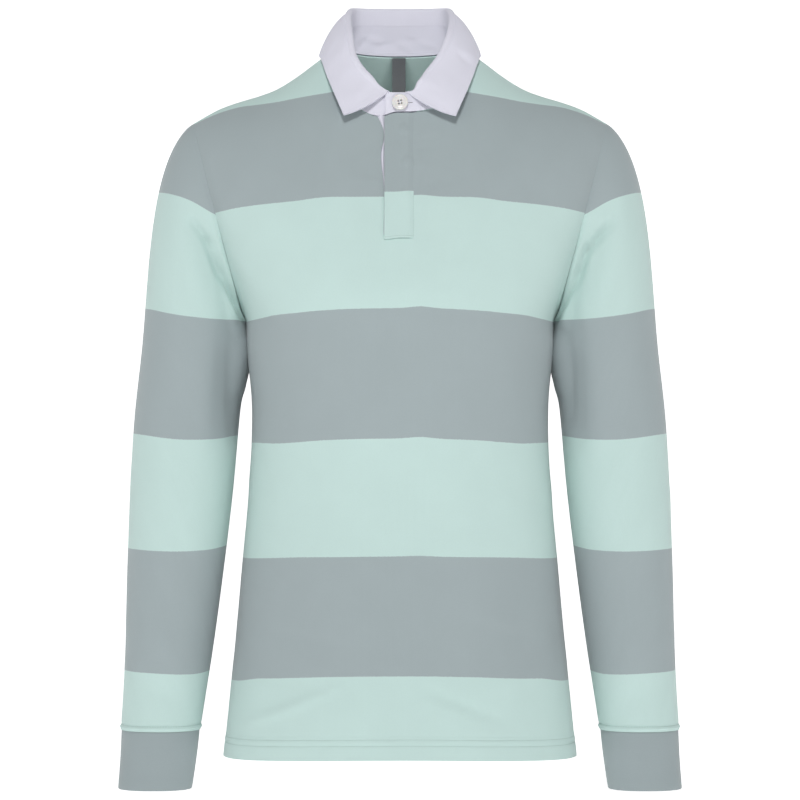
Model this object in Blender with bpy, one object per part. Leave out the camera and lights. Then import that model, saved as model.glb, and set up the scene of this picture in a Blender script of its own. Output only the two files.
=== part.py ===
"""A long-sleeve polo shirt, filled out as it is worn, with no wearer inside.

Metres, +Z up. The front faces -Y and +X is the viewer's right. The origin is
the middle of the neck opening, where the wearer's neck holds the shirt up.
Every piece is a cloth wall of its own, a seam gap away from its neighbours.
Each table below has named columns, and one row for each section or station.
"""
import math
from collections import Counter

import bmesh
import bpy
import numpy as np

# Cloth walls and seams
WALL = 0.0014
LEAF_WALL = 0.0016
LABEL_WALL = 0.0010
SEAM_GAP = 0.0003
FRONT = -1
BACK = 1

# Body sections below the armholes
SECTION_COLUMNS = ("height", "half_width", "front", "back")
BODY_SECTIONS = (
    (-0.698, 0.1760, 0.118, 0.120),
    (-0.653, 0.1715, 0.117, 0.118),
    (-0.573, 0.1635, 0.112, 0.110),
    (-0.493, 0.1563, 0.108, 0.098),
    (-0.453, 0.1525, 0.107, 0.094),
    (-0.413, 0.1495, 0.108, 0.092),
    (-0.373, 0.1480, 0.111, 0.095),
    (-0.333, 0.1490, 0.116, 0.102),
    (-0.298, 0.1520, 0.120, 0.109),
    (-0.265, 0.1550, 0.1235, 0.116),
)
# Body sections above the underarm, as wide as they would be with no armhole
CHEST_SECTIONS = (
    (-0.265, 0.1550, 0.1235, 0.116),
    (-0.240, 0.1640, 0.125, 0.120),
    (-0.200, 0.1786, 0.125, 0.1235),
    (-0.150, 0.2000, 0.125, 0.125),
    (-0.100, 0.2200, 0.125, 0.125),
    (-0.060, 0.2330, 0.125, 0.125),
    (0.020, 0.2400, 0.125, 0.125),
)
UNDERARM_Z = -0.265
SIDE_HEM_Z = -0.6965
HEM_RISE = {FRONT: 0.006, BACK: -0.0015}
SECTION_POWER = 2.4
CREST_START = {FRONT: -0.240, BACK: -0.170}
CREST_POWER = {FRONT: (1.35, 1.80), BACK: (2.40, 2.10)}
CREST_SPREAD = 0.18

# Shoulder line, from the middle of the neck out to the sleeve
SHOULDER_COLUMNS = ("out", "height")
SHOULDER_LINE = (
    (0.0000, 0.0150),
    (0.0300, 0.0145),
    (0.0500, 0.0125),
    (0.0640, 0.0090),
    (0.0820, -0.0035),
    (0.1055, -0.0210),
    (0.1255, -0.0330),
    (0.1415, -0.0390),
    (0.1615, -0.0450),
    (0.1785, -0.0510),
    (0.2065, -0.0660),
)
SHOULDER_TIP = 0.2065

# Neckline
NECK_HALF = 0.064
NECK_POINT_Z = 0.009
FRONT_NECK_DROP = 0.070
FRONT_NECK_CURVE = 0.714
BACK_NECK_REACH = 0.052
BACK_NECK_CURVE = 0.80
LEFT_DIP = 0.0055
LEFT_DIP_FROM = 0.062
LEFT_DIP_TO = 0.027

# Grid of each body panel
LOW_ROWS = 14
NOTCH_LOW_ROWS = 5
NOTCH_HIGH_ROWS = 7
NECK_CELLS = 6
SHOULDER_CELLS = 7
COLUMN_SAMPLES = 81
FINE_SAMPLES = 400

# Placket notch and the two strips that close it
NOTCH_TOP_LEFT = 0.0220
NOTCH_RIGHT = 0.0090
NOTCH_MIDDLE = -0.0030
NOTCH_BOTTOM_Z = -0.1820
NOTCH_COLUMNS = ("height", "out")
NOTCH_LEFT_EDGE = (
    (-0.280, 0.0158),
    (-0.183, 0.0158),
    (-0.134, 0.0158),
    (-0.104, 0.0180),
    (-0.080, 0.0160),
    (-0.065, NOTCH_TOP_LEFT),
)
PLACKET_LEFT = -0.0152
PLACKET_RIGHT = 0.0148
PLACKET_BOTTOM_Z = -0.1868
UNDER_LEFT = -0.0255
UNDER_RIGHT = 0.0160
UNDER_BOTTOM_Z = -0.1900
STRIP_TOP_TRIM = 0.06
STRIP_FIRST_ROW = 0.2
STRIP_PLACES = 4
UNDER_CLEAR = 1.7

# Collar, by angle round the neck from the centre front to the centre back
COLLAR_COLUMNS = (
    "angle", "top_x", "top_y", "top_z", "rise", "lean", "radius",
    "edge_x", "edge_y", "edge_z", "flare", "slouch",
)
COLLAR_STATIONS = (
    (0.0, 0.0000, -0.0585, -0.0412, 0.0034, 0.0010, 0.0026, 0.0530, -0.0785, -0.0660, 0.0, 0.0000),
    (4.5, 0.0100, -0.0583, -0.0411, 0.0036, 0.0010, 0.0026, 0.0545, -0.0780, -0.0645, 0.0, 0.0004),
    (12.0, 0.0198, -0.0555, -0.0358, 0.0060, 0.0010, 0.0027, 0.0568, -0.0752, -0.0597, 0.0, 0.0024),
    (25.0, 0.0300, -0.0500, -0.0290, 0.0080, 0.0010, 0.0028, 0.0612, -0.0690, -0.0495, 0.0, 0.0062),
    (50.0, 0.0440, -0.0375, -0.0140, 0.0130, 0.0010, 0.0030, 0.0708, -0.0480, -0.0270, 0.3, 0.0056),
    (75.0, 0.0480, -0.0170, 0.0085, 0.0155, 0.0020, 0.0034, 0.0780, -0.0210, -0.0060, 0.9, 0.0006),
    (95.0, 0.0490, 0.0050, 0.0245, 0.0170, 0.0032, 0.0035, 0.0812, 0.0060, 0.0025, 1.0, 0.0000),
    (115.0, 0.0480, 0.0240, 0.0330, 0.0180, 0.0026, 0.0035, 0.0800, 0.0360, 0.0025, 1.0, 0.0000),
    (135.0, 0.0420, 0.0385, 0.0358, 0.0180, 0.0030, 0.0035, 0.0660, 0.0640, -0.0010, 0.7, 0.0000),
    (155.0, 0.0280, 0.0455, 0.0362, 0.0180, 0.0030, 0.0035, 0.0380, 0.0800, -0.0040, 0.5, 0.0000),
    (180.0, 0.0000, 0.0475, 0.0362, 0.0180, 0.0030, 0.0035, 0.0000, 0.0850, -0.0050, 0.5, 0.0000),
)
BAND_ROWS = 3
UNDERLAP_END = 0.0140
OVERLAP_END = -0.0145
LEAF_END_LEFT = -0.0105
BAND_SEAT = 0.0009
LEAF_SEAT = 0.0005
UNDERLAP_DROP = 0.0010
OVERLAP_LIFT = 0.00155
UNDERLAP_LIFT = -0.00025
RISE_CELLS = 2
ROLL_CELLS = 5
FALL_CELLS = 5
FALL_PULL = 0.5
# How far a flared fall heads out and down where it starts and where it ends
FLARE_START = (0.78, 0.45)
FLARE_END = (0.27, 0.90)
SLOUCH_LIFT = 0.3
SLOUCH_FLAT = 0.0045

# Sleeves and cuffs, mirrored for the two sides
SLEEVE_COLUMNS = ("height", "outer", "inner", "half_depth", "middle_y")
SLEEVE_SECTIONS = (
    (-0.300, 0.2585, 0.1532, 0.0587, 0.0000),
    (-0.353, 0.2642, 0.1594, 0.0550, -0.0030),
    (-0.433, 0.2688, 0.1665, 0.0510, -0.0080),
    (-0.513, 0.2714, 0.1758, 0.0465, -0.0130),
    (-0.593, 0.2730, 0.1864, 0.0420, -0.0180),
    (-0.633, 0.2747, 0.1925, 0.0390, -0.0215),
    (-0.669, 0.2768, 0.1980, 0.0365, -0.0250),
)
CUFF_SECTIONS = (
    (-0.6693, 0.2760, 0.1988, 0.0357, -0.0250),
    (-0.6850, 0.2766, 0.2003, 0.0345, -0.0255),
    (-0.7060, 0.2778, 0.2030, 0.0322, -0.0262),
    (-0.7275, 0.2795, 0.2062, 0.0300, -0.0270),
)
SLEEVE_POWER = 2.2
SLEEVE_TOP_Z = -0.300
SLEEVE_END_Z = -0.669
CAP_RINGS = 8
SLEEVE_RINGS = 12
CUFF_SIDES = 24
CAP_PULL = 0.714
SLEEVE_PULL = 0.95
CAP_OUTWARD = (0.25, 0.45, 0.70)
SLEEVE_SETTLE = (0.11, -0.02, -1.0)

# Largest folds at the armpits: a soft trough or ridge from start to end
FOLD_END = 0.15
FOLD_FIRST_RINGS = 3
FOLD_COLUMNS = ("face", "x0", "z0", "x1", "z1", "width", "depth")
ARMPIT_FOLDS = (
    (FRONT, 0.2050, -0.1600, 0.1640, -0.2640, 0.0150, -0.0045),
    (FRONT, 0.1850, -0.2050, 0.1650, -0.2850, 0.0110, 0.0035),
    (FRONT, 0.1700, -0.2600, 0.1760, -0.3850, 0.0100, -0.0040),
    (BACK, 0.2060, -0.1550, 0.1640, -0.2640, 0.0150, -0.0045),
    (BACK, 0.1880, -0.2000, 0.1650, -0.2850, 0.0120, 0.0035),
    (BACK, 0.1720, -0.2600, 0.1800, -0.3700, 0.0110, -0.0035),
)

# Button on the stand, and the label inside the back neck
BUTTON_THICKNESS = 0.0030
BUTTON_SIDES = 32
# The button's turned shape, from its dished face round the rim to its back
BUTTON_PROFILE = (
    (0.00544, 0.00240),
    (0.00640, 0.00300),
    (0.00744, 0.00276),
    (0.00800, 0.00180),
    (0.00704, 0.00000),
)
BUTTON_Z = -0.0512
BUTTON_HOLE_RADIUS = 0.0009
BUTTON_HOLE_SIDES = 12
BUTTON_HOLE_SPACING = 0.0014
BUTTON_TURN = 0.20
BUTTON_SHANK = 0.0007
LABEL_LEFT = -0.0080
LABEL_RIGHT = 0.0056
LABEL_LENGTH = 0.0450
LABEL_SLOPE = 0.20
LABEL_ROWS = 5
LABEL_CLEAR = 0.0009
LABEL_DROP = 0.0020

# Surfaces: base colour, roughness and metallic value
MINT = ((0.546, 0.723, 0.672), 0.85, 0.0)
WHITE = ((0.700, 0.700, 0.780), 0.80, 0.0)
GREY = ((0.352, 0.413, 0.423), 0.85, 0.0)
SHELL = ((0.720, 0.710, 0.700), 0.35, 0.0)
DARK = ((0.061, 0.072, 0.078), 0.60, 0.0)


def smooth_curves(columns, rows):
    """One smooth curve for each named column, over the first column."""
    data = np.array(sorted(rows), float)
    keys = data[:, 0]
    found = {}
    for number, name in enumerate(columns[1:], start=1):
        values = data[:, number]
        found[name] = (keys, values, np.gradient(values, keys))
    return found


def read(curve, key):
    """Value of a smooth curve at one key, held level past its ends."""
    keys, values, slopes = curve
    key = min(max(key, keys[0]), keys[-1])
    left = min(int(np.searchsorted(keys, key, side="right")) - 1, len(keys) - 2)
    span = keys[left + 1] - keys[left]
    s = (key - keys[left]) / span
    low = values[left] * (1 + 2 * s) + slopes[left] * span * s
    high = values[left + 1] * (3 - 2 * s) + slopes[left + 1] * span * (s - 1)
    return low * (1 - s) ** 2 + high * s ** 2


def ease(value):
    """Smooth step from 0 to 1."""
    value = min(max(value, 0.0), 1.0)
    return value * value * (3 - 2 * value)


def unit(vector):
    """Vectors of length one."""
    vector = np.asarray(vector, float)
    return vector / np.linalg.norm(vector, axis=-1, keepdims=True)


BODY = smooth_curves(SECTION_COLUMNS, BODY_SECTIONS)
CHEST = smooth_curves(SECTION_COLUMNS, CHEST_SECTIONS)
SHOULDER = smooth_curves(SHOULDER_COLUMNS, SHOULDER_LINE)
NOTCH = smooth_curves(NOTCH_COLUMNS, NOTCH_LEFT_EDGE)
COLLAR = smooth_curves(COLLAR_COLUMNS, COLLAR_STATIONS)
SLEEVE = smooth_curves(SLEEVE_COLUMNS, SLEEVE_SECTIONS)
CUFF = smooth_curves(SLEEVE_COLUMNS, CUFF_SECTIONS)


def section(name, z):
    """One size of the body's section at a height."""
    table = BODY if z <= UNDERARM_Z else CHEST
    return read(table[name], z)


def crest(x, face):
    """Start height, top height and roundness of the body's crest at x."""
    middle, side = CREST_POWER[face]
    power = middle + (side - middle) * ease(abs(x) / CREST_SPREAD)
    return CREST_START[face], read(SHOULDER["height"], abs(x)), power


def body_y(x, z, face):
    """Where the body's outer surface lies, forward or back of the sides."""
    depth = section("front" if face == FRONT else "back", z)
    reach = min(abs(x) / section("half_width", z), 1.0)
    across = (1 - reach ** SECTION_POWER) ** (1 / SECTION_POWER)
    start, top, power = crest(x, face)
    climb = min(max((z - start) / (top - start), 0.0), 1.0)
    return face * depth * across * (1 - climb ** power) ** (1 / power)


def body_z(x, y, face):
    """Height of the body's crest over a point near the neck."""
    start, top, power = crest(x, face)
    z = top
    for _ in range(4):
        depth = section("front" if face == FRONT else "back", z)
        reach = abs(x) / section("half_width", z)
        across = (1 - reach ** SECTION_POWER) ** (1 / SECTION_POWER)
        out = min(abs(y) / (depth * across), 1.0)
        z = start + (top - start) * (1 - out ** power) ** (1 / power)
    return z


def neckline(angle):
    """Body edge at the neck: 0 is the centre front, 180 the centre back."""
    side = 1 if angle >= 0 else -1
    turn = math.radians(abs(angle))
    if turn <= math.pi / 2 + 1e-9:
        bend = max(math.cos(turn), 0.0) ** FRONT_NECK_CURVE
        x = NECK_HALF * math.sin(turn) ** FRONT_NECK_CURVE
        z = NECK_POINT_Z - FRONT_NECK_DROP * bend
        if side < 0:
            reach = (LEFT_DIP_FROM - x) / (LEFT_DIP_FROM - LEFT_DIP_TO)
            centre = (x + NOTCH_MIDDLE) / (NOTCH_TOP_LEFT + NOTCH_MIDDLE)
            z -= LEFT_DIP * ease(reach) * ease(centre)
        return side * x, body_y(x, z, FRONT), z
    turn = math.pi - turn
    x = NECK_HALF * max(math.sin(turn), 0.0) ** BACK_NECK_CURVE
    y = BACK_NECK_REACH * math.cos(turn) ** BACK_NECK_CURVE
    return side * x, y, body_z(x, y, BACK)


def neck_angle(x):
    """Angle round the neck at which the front neckline reaches x."""
    turn = math.asin((abs(x) / NECK_HALF) ** (1 / FRONT_NECK_CURVE))
    return math.copysign(math.degrees(turn), x)


def side_fractions(start, face, cells):
    """Places across the underarm section, evenly along the cloth to the side."""
    half = section("half_width", UNDERARM_Z)
    first = math.asin((start / half) ** (SECTION_POWER / 2))
    turns = np.linspace(first, math.pi / 2, FINE_SAMPLES)
    across = np.sin(turns) ** (2 / SECTION_POWER)
    depth = section("front" if face == FRONT else "back", UNDERARM_Z)
    deep = depth * np.maximum(np.cos(turns), 0.0) ** (2 / SECTION_POWER)
    steps = np.hypot(np.diff(across * half), np.diff(deep))
    length = np.concatenate(([0.0], np.cumsum(steps)))
    return np.interp(np.linspace(0, length[-1], cells + 1), length, across)


def column_up(face, x_path, z_top, shares):
    """Points up one column of the chest, at shares of its length of cloth."""
    rise = np.sin(np.linspace(0, math.pi / 2, COLUMN_SAMPLES))
    heights = UNDERARM_Z + (z_top - UNDERARM_Z) * rise
    places = [(x_path(z), z) for z in heights]
    line = np.array([(x, body_y(x, z, face), z) for x, z in places])
    steps = np.linalg.norm(np.diff(line, axis=0), axis=1)
    length = np.concatenate(([0.0], np.cumsum(steps)))
    goals = np.asarray(shares) * length[-1]
    return np.stack([np.interp(goals, length, line[:, k]) for k in range(3)], axis=1)


def straight_path(x_low, x_top, z_top):
    """A column that leans evenly from the underarm row to its top."""
    def path(z):
        return x_low + (x_top - x_low) * (z - UNDERARM_Z) / (z_top - UNDERARM_Z)
    return path


def notch_path(z):
    """The left edge of the placket notch."""
    return -read(NOTCH["out"], z)


def panel_columns(face):
    """Low place, path and top height of each column of a body panel."""
    half = section("half_width", UNDERARM_Z)
    cells = NECK_CELLS + SHOULDER_CELLS
    shoulders = np.linspace(NECK_HALF, SHOULDER_TIP, SHOULDER_CELLS + 1)[1:]
    columns = []
    for side in (-1, 1):
        if face == FRONT:
            first_x = abs(notch_path(UNDERARM_Z)) if side < 0 else NOTCH_RIGHT
            first_angle = abs(neck_angle(NOTCH_TOP_LEFT if side < 0 else NOTCH_RIGHT))
            angles = side * np.linspace(first_angle, 90, NECK_CELLS + 1)
        else:
            first_x = 0.0
            angles = side * np.linspace(180, 90, NECK_CELLS + 1)
        tops = [neckline(angle)[::2] for angle in angles]
        tops += [(side * x, read(SHOULDER["height"], x)) for x in shoulders]
        lows = side_fractions(first_x, face, cells)
        half_panel = []
        for fraction, (x_top, z_top) in zip(lows, tops):
            x_low = side * fraction * half
            half_panel.append((side * fraction, straight_path(x_low, x_top, z_top), z_top))
        if side < 0:
            if face == FRONT:
                half_panel[0] = (half_panel[0][0], notch_path, half_panel[0][2])
            columns = half_panel[::-1]
            continue
        if face == FRONT:
            z_top = neckline(neck_angle(NOTCH_MIDDLE))[2]
            path = straight_path(NOTCH_MIDDLE, NOTCH_MIDDLE, z_top)
            columns.append((NOTCH_MIDDLE / half, path, z_top))
            columns += half_panel
        else:
            columns += half_panel[1:]
    return columns


def chest_shares():
    """Shares of each chest column's length at which its rows lie."""
    z_top = neckline(neck_angle(NOTCH_MIDDLE))[2]
    path = straight_path(NOTCH_MIDDLE, NOTCH_MIDDLE, z_top)
    fine = np.linspace(0, 1, FINE_SAMPLES)
    heights = column_up(FRONT, path, z_top, fine)[:, 2]
    notch = float(np.interp(NOTCH_BOTTOM_Z, heights, fine))
    low = np.linspace(0, notch, NOTCH_LOW_ROWS + 1)
    high = np.linspace(notch, 1, NOTCH_HIGH_ROWS + 1)
    return np.concatenate((low, high[1:]))


def panel_points(face):
    """Outer points of the front or back panel, row by row from the hem."""
    shares = chest_shares()
    grid = []
    for fraction, path, z_top in panel_columns(face):
        hem = SIDE_HEM_Z + HEM_RISE[face] * (1 - fraction ** 2)
        points = []
        for z in np.linspace(hem, UNDERARM_Z, LOW_ROWS + 1)[:-1]:
            x = fraction * section("half_width", z)
            points.append((x, body_y(x, z, face), z))
        points += [tuple(p) for p in column_up(face, path, z_top, shares)]
        grid.append(points)
    return np.array(grid).transpose(1, 0, 2)


def grid_normals(points, flip=False, around=False):
    """Normals of a grid of points, from its neighbours."""
    if around:
        across = np.roll(points, -1, axis=1) - np.roll(points, 1, axis=1)
    else:
        across = np.gradient(points, axis=1)
    along = np.gradient(points, axis=0)
    normals = unit(np.cross(across, along))
    return -normals if flip else normals


def panel_normals(points, face):
    """Outward normals of a body panel, level with the seams at its sides."""
    normals = grid_normals(points, flip=(face == BACK))
    seam_rows = [(row, column) for row in range(LOW_ROWS + 1) for column in (0, -1)]
    last = points.shape[0] - 1
    shoulder = list(range(SHOULDER_CELLS + 1))
    shoulder += [-1 - step for step in shoulder]
    seam_rows += [(last, column) for column in shoulder]
    for row, column in seam_rows:
        normals[row, column, 1] = 0.0
    return unit(normals)


def wall_object(name, outer, inner, finish, flip=False, around=False, removed=()):
    """A closed cloth wall between an outer and an inner grid of points."""
    rows, columns = outer.shape[:2]
    count = rows * columns
    points = np.concatenate((outer.reshape(-1, 3), inner.reshape(-1, 3)))
    cell_columns = columns if around else columns - 1
    quads = []
    for row in range(rows - 1):
        for column in range(cell_columns):
            if (row, column) in removed:
                continue
            beside = (column + 1) % columns
            low = row * columns
            high = low + columns
            quad = (low + column, low + beside, high + beside, high + column)
            quads.append(quad[::-1] if flip else quad)
    edges = Counter()
    for quad in quads:
        for first, second in zip(quad, quad[1:] + quad[:1]):
            edges[(first, second)] += 1
    faces = list(quads)
    faces += [tuple(corner + count for corner in quad[::-1]) for quad in quads]
    for first, second in edges:
        if (second, first) not in edges:
            faces.append((second, first, first + count, second + count))
    used = sorted({corner for face in faces for corner in face})
    place = {corner: number for number, corner in enumerate(used)}
    mesh = bpy.data.meshes.new(name)
    corners = [tuple(points[corner]) for corner in used]
    mesh.from_pydata(corners, [], [[place[c] for c in face] for face in faces])
    return finish_object(name, mesh, finish)


def finish_object(name, mesh, finish):
    """Link a mesh as a named object with its own material."""
    mesh.validate()
    mesh.update()
    mesh.shade_smooth()
    mesh.set_sharp_from_angle(angle=math.radians(45))
    colour, roughness, metallic = finish
    material = bpy.data.materials.new(name)
    material.use_nodes = True
    shader = material.node_tree.nodes["Principled BSDF"]
    shader.inputs["Base Color"].default_value = (*colour, 1.0)
    shader.inputs["Roughness"].default_value = roughness
    shader.inputs["Metallic"].default_value = metallic
    mesh.materials.append(material)
    thing = bpy.data.objects.new(name, mesh)
    bpy.context.scene.collection.objects.link(thing)
    return thing


def make_panel(name, face):
    """The front or back panel. Returns its outer points and normals."""
    points = panel_points(face)
    normals = panel_normals(points, face)
    trimmed = points.copy()
    seam = face * SEAM_GAP / 2
    trimmed[:, :, 1] = face * np.maximum(face * points[:, :, 1], abs(seam))
    inner = trimmed - normals * WALL
    inner[:, :, 1] = face * np.maximum(face * inner[:, :, 1], abs(seam))
    removed = set()
    if face == FRONT:
        left = NECK_CELLS + SHOULDER_CELLS
        first = LOW_ROWS + NOTCH_LOW_ROWS
        for row in range(first, points.shape[0] - 1):
            removed.update({(row, left), (row, left + 1)})
    wall_object(name, trimmed, inner, MINT, flip=(face == BACK), removed=removed)
    return points, normals


def along_row(points, normals, row, x, lift):
    """A point at x on one row of a panel, moved out by lift."""
    left = math.floor(row)
    share = row - left
    right = min(left + 1, points.shape[0] - 1)
    found = np.zeros(3)
    facing = np.zeros(3)
    for weight, number in ((1 - share, left), (share, right)):
        line = points[number]
        facings = normals[number]
        for axis in range(3):
            found[axis] += weight * np.interp(x, line[:, 0], line[:, axis])
            facing[axis] += weight * np.interp(x, line[:, 0], facings[:, axis])
    return found + unit(facing) * lift


def strip_rows(points, bottom_z):
    """Rows of a strip on the front: its bottom, then the panel's own rows."""
    middle = NECK_CELLS + SHOULDER_CELLS + 1
    heights = points[:, middle, 2]
    rows = list(range(len(heights)))
    bottom = float(np.interp(bottom_z, heights, rows))
    inside = [row for row in rows[:-1] if row > bottom + STRIP_FIRST_ROW]
    return [bottom] + inside + [rows[-1] - STRIP_TOP_TRIM]


def make_strip(name, points, normals, sides, bottom_z, outer_lift, finish):
    """A flat strip that follows the front panel, out to the neckline."""
    places = np.linspace(sides[0], sides[1], STRIP_PLACES)
    rows = strip_rows(points, bottom_z)
    outer = []
    inner = []
    for row in rows:
        outer.append([along_row(points, normals, row, x, outer_lift) for x in places])
        lift = outer_lift - WALL
        inner.append([along_row(points, normals, row, x, lift) for x in places])
    wall_object(name, np.array(outer), np.array(inner), finish)


def neck_stations(front, back):
    """Body edge, angle and lift of each station of the collar band."""
    middle = NECK_CELLS + SHOULDER_CELLS + 1
    top = front[-1]
    rim = back[-1]
    left = SHOULDER_CELLS
    right = front.shape[1] - 1 - SHOULDER_CELLS
    stations = []

    def add_front(x, lift):
        place = np.array([np.interp(x, top[:, 0], top[:, k]) for k in range(3)])
        stations.append((place, neck_angle(x), lift))

    for x in (UNDERLAP_END, top[middle, 0], OVERLAP_END):
        add_front(x, UNDERLAP_LIFT)
    for number in range(middle - 1, left, -1):
        add_front(top[number, 0], 0.0)
    centre = rim.shape[0] // 2
    for number in range(left, rim.shape[0] - left):
        angle = 180 - 90 * abs(number - centre) / NECK_CELLS
        stations.append((rim[number], math.copysign(angle, number - centre), 0.0))
    for number in range(right - 1, middle, -1):
        share = np.interp(number, (middle + 2, middle + 4), (1.0, 0.0))
        add_front(top[number, 0], OVERLAP_LIFT * share)
    add_front(top[middle, 0], OVERLAP_LIFT)
    add_front(OVERLAP_END, OVERLAP_LIFT)
    return stations


def collar_value(name, angle):
    """One size of the collar at an angle, the same on both sides."""
    return read(COLLAR[name], abs(angle))


def collar_place(kind, angle):
    """The band's top or the leaf's edge at an angle."""
    side = 1 if angle >= 0 else -1
    x = side * collar_value(kind + "_x", angle)
    return np.array((x, collar_value(kind + "_y", angle), collar_value(kind + "_z", angle)))


def band_points(stations):
    """Outer points and normals of the collar band, bottom row first."""
    outer = []
    for edge, angle, lift in stations:
        top = collar_place("top", angle)
        top[2] -= UNDERLAP_DROP if lift < 0 else 0.0
        low = edge + unit(top - edge) * BAND_SEAT
        outer.append([low + (top - low) * s for s in np.linspace(0, 1, BAND_ROWS + 1)])
    outer = np.array(outer).transpose(1, 0, 2)
    normals = grid_normals(outer)
    facing = np.array([(edge[0], edge[1], 0.0) for edge, _, _ in stations])
    turned = np.sign(np.sum(normals * facing, axis=2, keepdims=True))
    normals = normals * turned
    normals[0, :, 2] = 0.0
    normals = unit(normals)
    lifts = np.array([lift for _, _, lift in stations])
    return outer + normals * lifts[None, :, None], normals, float(turned[0, 5, 0])


def leaf_profile(top, facing, rising, angle):
    """Visible face of the leaf at one station: rise, roll and fall."""
    edge = collar_place("edge", angle)
    out = edge - top
    out[2] = 0.0
    out = unit(out)
    radius = collar_value("radius", angle)
    seat = top - facing * WALL + rising * LEAF_SEAT
    slouch = collar_value("slouch", angle) if angle > 0 else 0.0
    peak = top + out * (collar_value("lean", angle) - slouch)
    peak[2] += collar_value("rise", angle) + slouch * SLOUCH_LIFT
    hub = peak - np.array((0.0, 0.0, radius))
    up = np.array((0.0, 0.0, 1.0))
    start = hub - out * radius
    profile = [seat + (start - seat) * s for s in np.linspace(0, 1, RISE_CELLS + 1)]
    for turn in np.linspace(math.pi, 0.0, ROLL_CELLS + 1)[1:]:
        profile.append(hub + (out * math.cos(turn) + up * math.sin(turn)) * radius)
    begin = profile[-1]
    reach = edge - begin
    length = np.linalg.norm(reach)
    flare = collar_value("flare", angle)
    leave = -up * length * FALL_PULL * (1 - flare)
    leave += (out * FLARE_START[0] - up * FLARE_START[1]) * length * flare
    arrive = reach * (1 - flare)
    arrive += (out * FLARE_END[0] - up * FLARE_END[1]) * length * flare
    flat = min(slouch / SLOUCH_FLAT, 1.0)
    leave = leave * (1 - flat) + reach * flat
    arrive = arrive * (1 - flat) + reach * flat
    for s in np.linspace(0, 1, FALL_CELLS + 1)[1:]:
        early = begin * (1 + 2 * s) + leave * s
        late = edge * (3 - 2 * s) + arrive * (s - 1)
        profile.append(early * (1 - s) ** 2 + late * s ** 2)
    return profile


def make_collar(front, back):
    """The collar band, its two ends lapped, and the leaf on top of it."""
    stations = neck_stations(front, back)
    outer, normals, turned = band_points(stations)
    inner = outer - normals * WALL
    wall_object("collar_stand", outer, inner, WHITE, flip=(turned < 0))

    rising = unit(outer[-1] - outer[-2])
    share = (LEAF_END_LEFT - outer[-1, -2, 0]) / (outer[-1, -1, 0] - outer[-1, -2, 0])
    start = outer[-1, -2] + (outer[-1, -1] - outer[-1, -2]) * share
    facing = unit(normals[-1, -2] + normals[-1, -1])
    seats = [(start, facing, rising[-1], neck_angle(LEAF_END_LEFT))]
    for number in range(3, len(stations) - 2):
        angle = stations[number][1]
        seats.append((outer[-1, number], normals[-1, number], rising[number], angle))
    leaf = np.array([leaf_profile(*seat) for seat in seats]).transpose(1, 0, 2)
    facings = grid_normals(leaf)
    outward = facings[-2, facings.shape[1] // 2, 1]
    if outward < 0:
        facings = -facings
    facings[0] = [-facing for _, facing, _, _ in seats]
    under = leaf - facings * LEAF_WALL
    wall_object("collar_leaf", leaf, under, WHITE, flip=(outward < 0))
    return outer, normals


def sleeve_ring(curves, side, z, turns):
    """One level ring of a sleeve or cuff, from its inner side round the front."""
    outer = read(curves["outer"], z)
    inner = read(curves["inner"], z)
    middle = (outer + inner) / 2
    half = (outer - inner) / 2
    depth = read(curves["half_depth"], z)
    centre_y = read(curves["middle_y"], z)
    ring = []
    for turn in turns:
        cosine = math.cos(turn)
        sine = math.sin(turn)
        across = math.copysign(abs(cosine) ** (2 / SLEEVE_POWER), cosine)
        deep = math.copysign(abs(sine) ** (2 / SLEEVE_POWER), sine)
        ring.append((side * (middle - half * across), centre_y - depth * deep, z))
    return np.array(ring)


def armhole_loop(front, back, side):
    """Points round an armhole, from the underarm up the front and down the back."""
    column = 0 if side < 0 else -1
    up = front[LOW_ROWS:, column].copy()
    down = back[LOW_ROWS:, column][::-1].copy()
    up[0, 1] = 0.0
    up[-1, 1] = 0.0
    return np.concatenate((up, down[1:-1]))


def sleeve_points(front, back, side):
    """Outer points of a sleeve, ring by ring from the armhole to the cuff seam."""
    loop = armhole_loop(front, back, side)
    shares = chest_shares()
    turns = [math.pi * share for share in shares]
    turns += [2 * math.pi - turn for turn in turns[-2:0:-1]]
    tip = loop[len(shares) - 1]
    under = loop[0]
    line = unit(tip - under)
    plane = unit(np.array((side * line[2], 0.0, -side * line[0])))
    start = loop + plane * SEAM_GAP
    finish = sleeve_ring(SLEEVE, side, SLEEVE_TOP_Z, turns)
    reach = np.linalg.norm(finish - start, axis=1)[:, None]
    height = np.array([(1 - math.cos(turn)) / 2 for turn in turns])
    outward = np.interp(height, (0.0, 0.5, 1.0), CAP_OUTWARD)[:, None]
    down = np.array((0.0, 0.0, -1.0))
    leave = unit(plane * outward + down * (1 - outward)) * reach * CAP_PULL
    settle = unit(np.array((side * SLEEVE_SETTLE[0], *SLEEVE_SETTLE[1:])))
    arrive = settle * reach * SLEEVE_PULL
    rings = []
    for s in np.linspace(0, 1, CAP_RINGS + 1):
        early = start * (1 + 2 * s) + leave * s
        late = finish * (3 - 2 * s) + arrive * (s - 1)
        rings.append(early * (1 - s) ** 2 + late * s ** 2)
    for z in np.linspace(SLEEVE_TOP_Z, SLEEVE_END_Z, SLEEVE_RINGS + 1)[1:]:
        rings.append(sleeve_ring(SLEEVE, side, z, turns))
    return np.array(rings), plane


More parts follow.
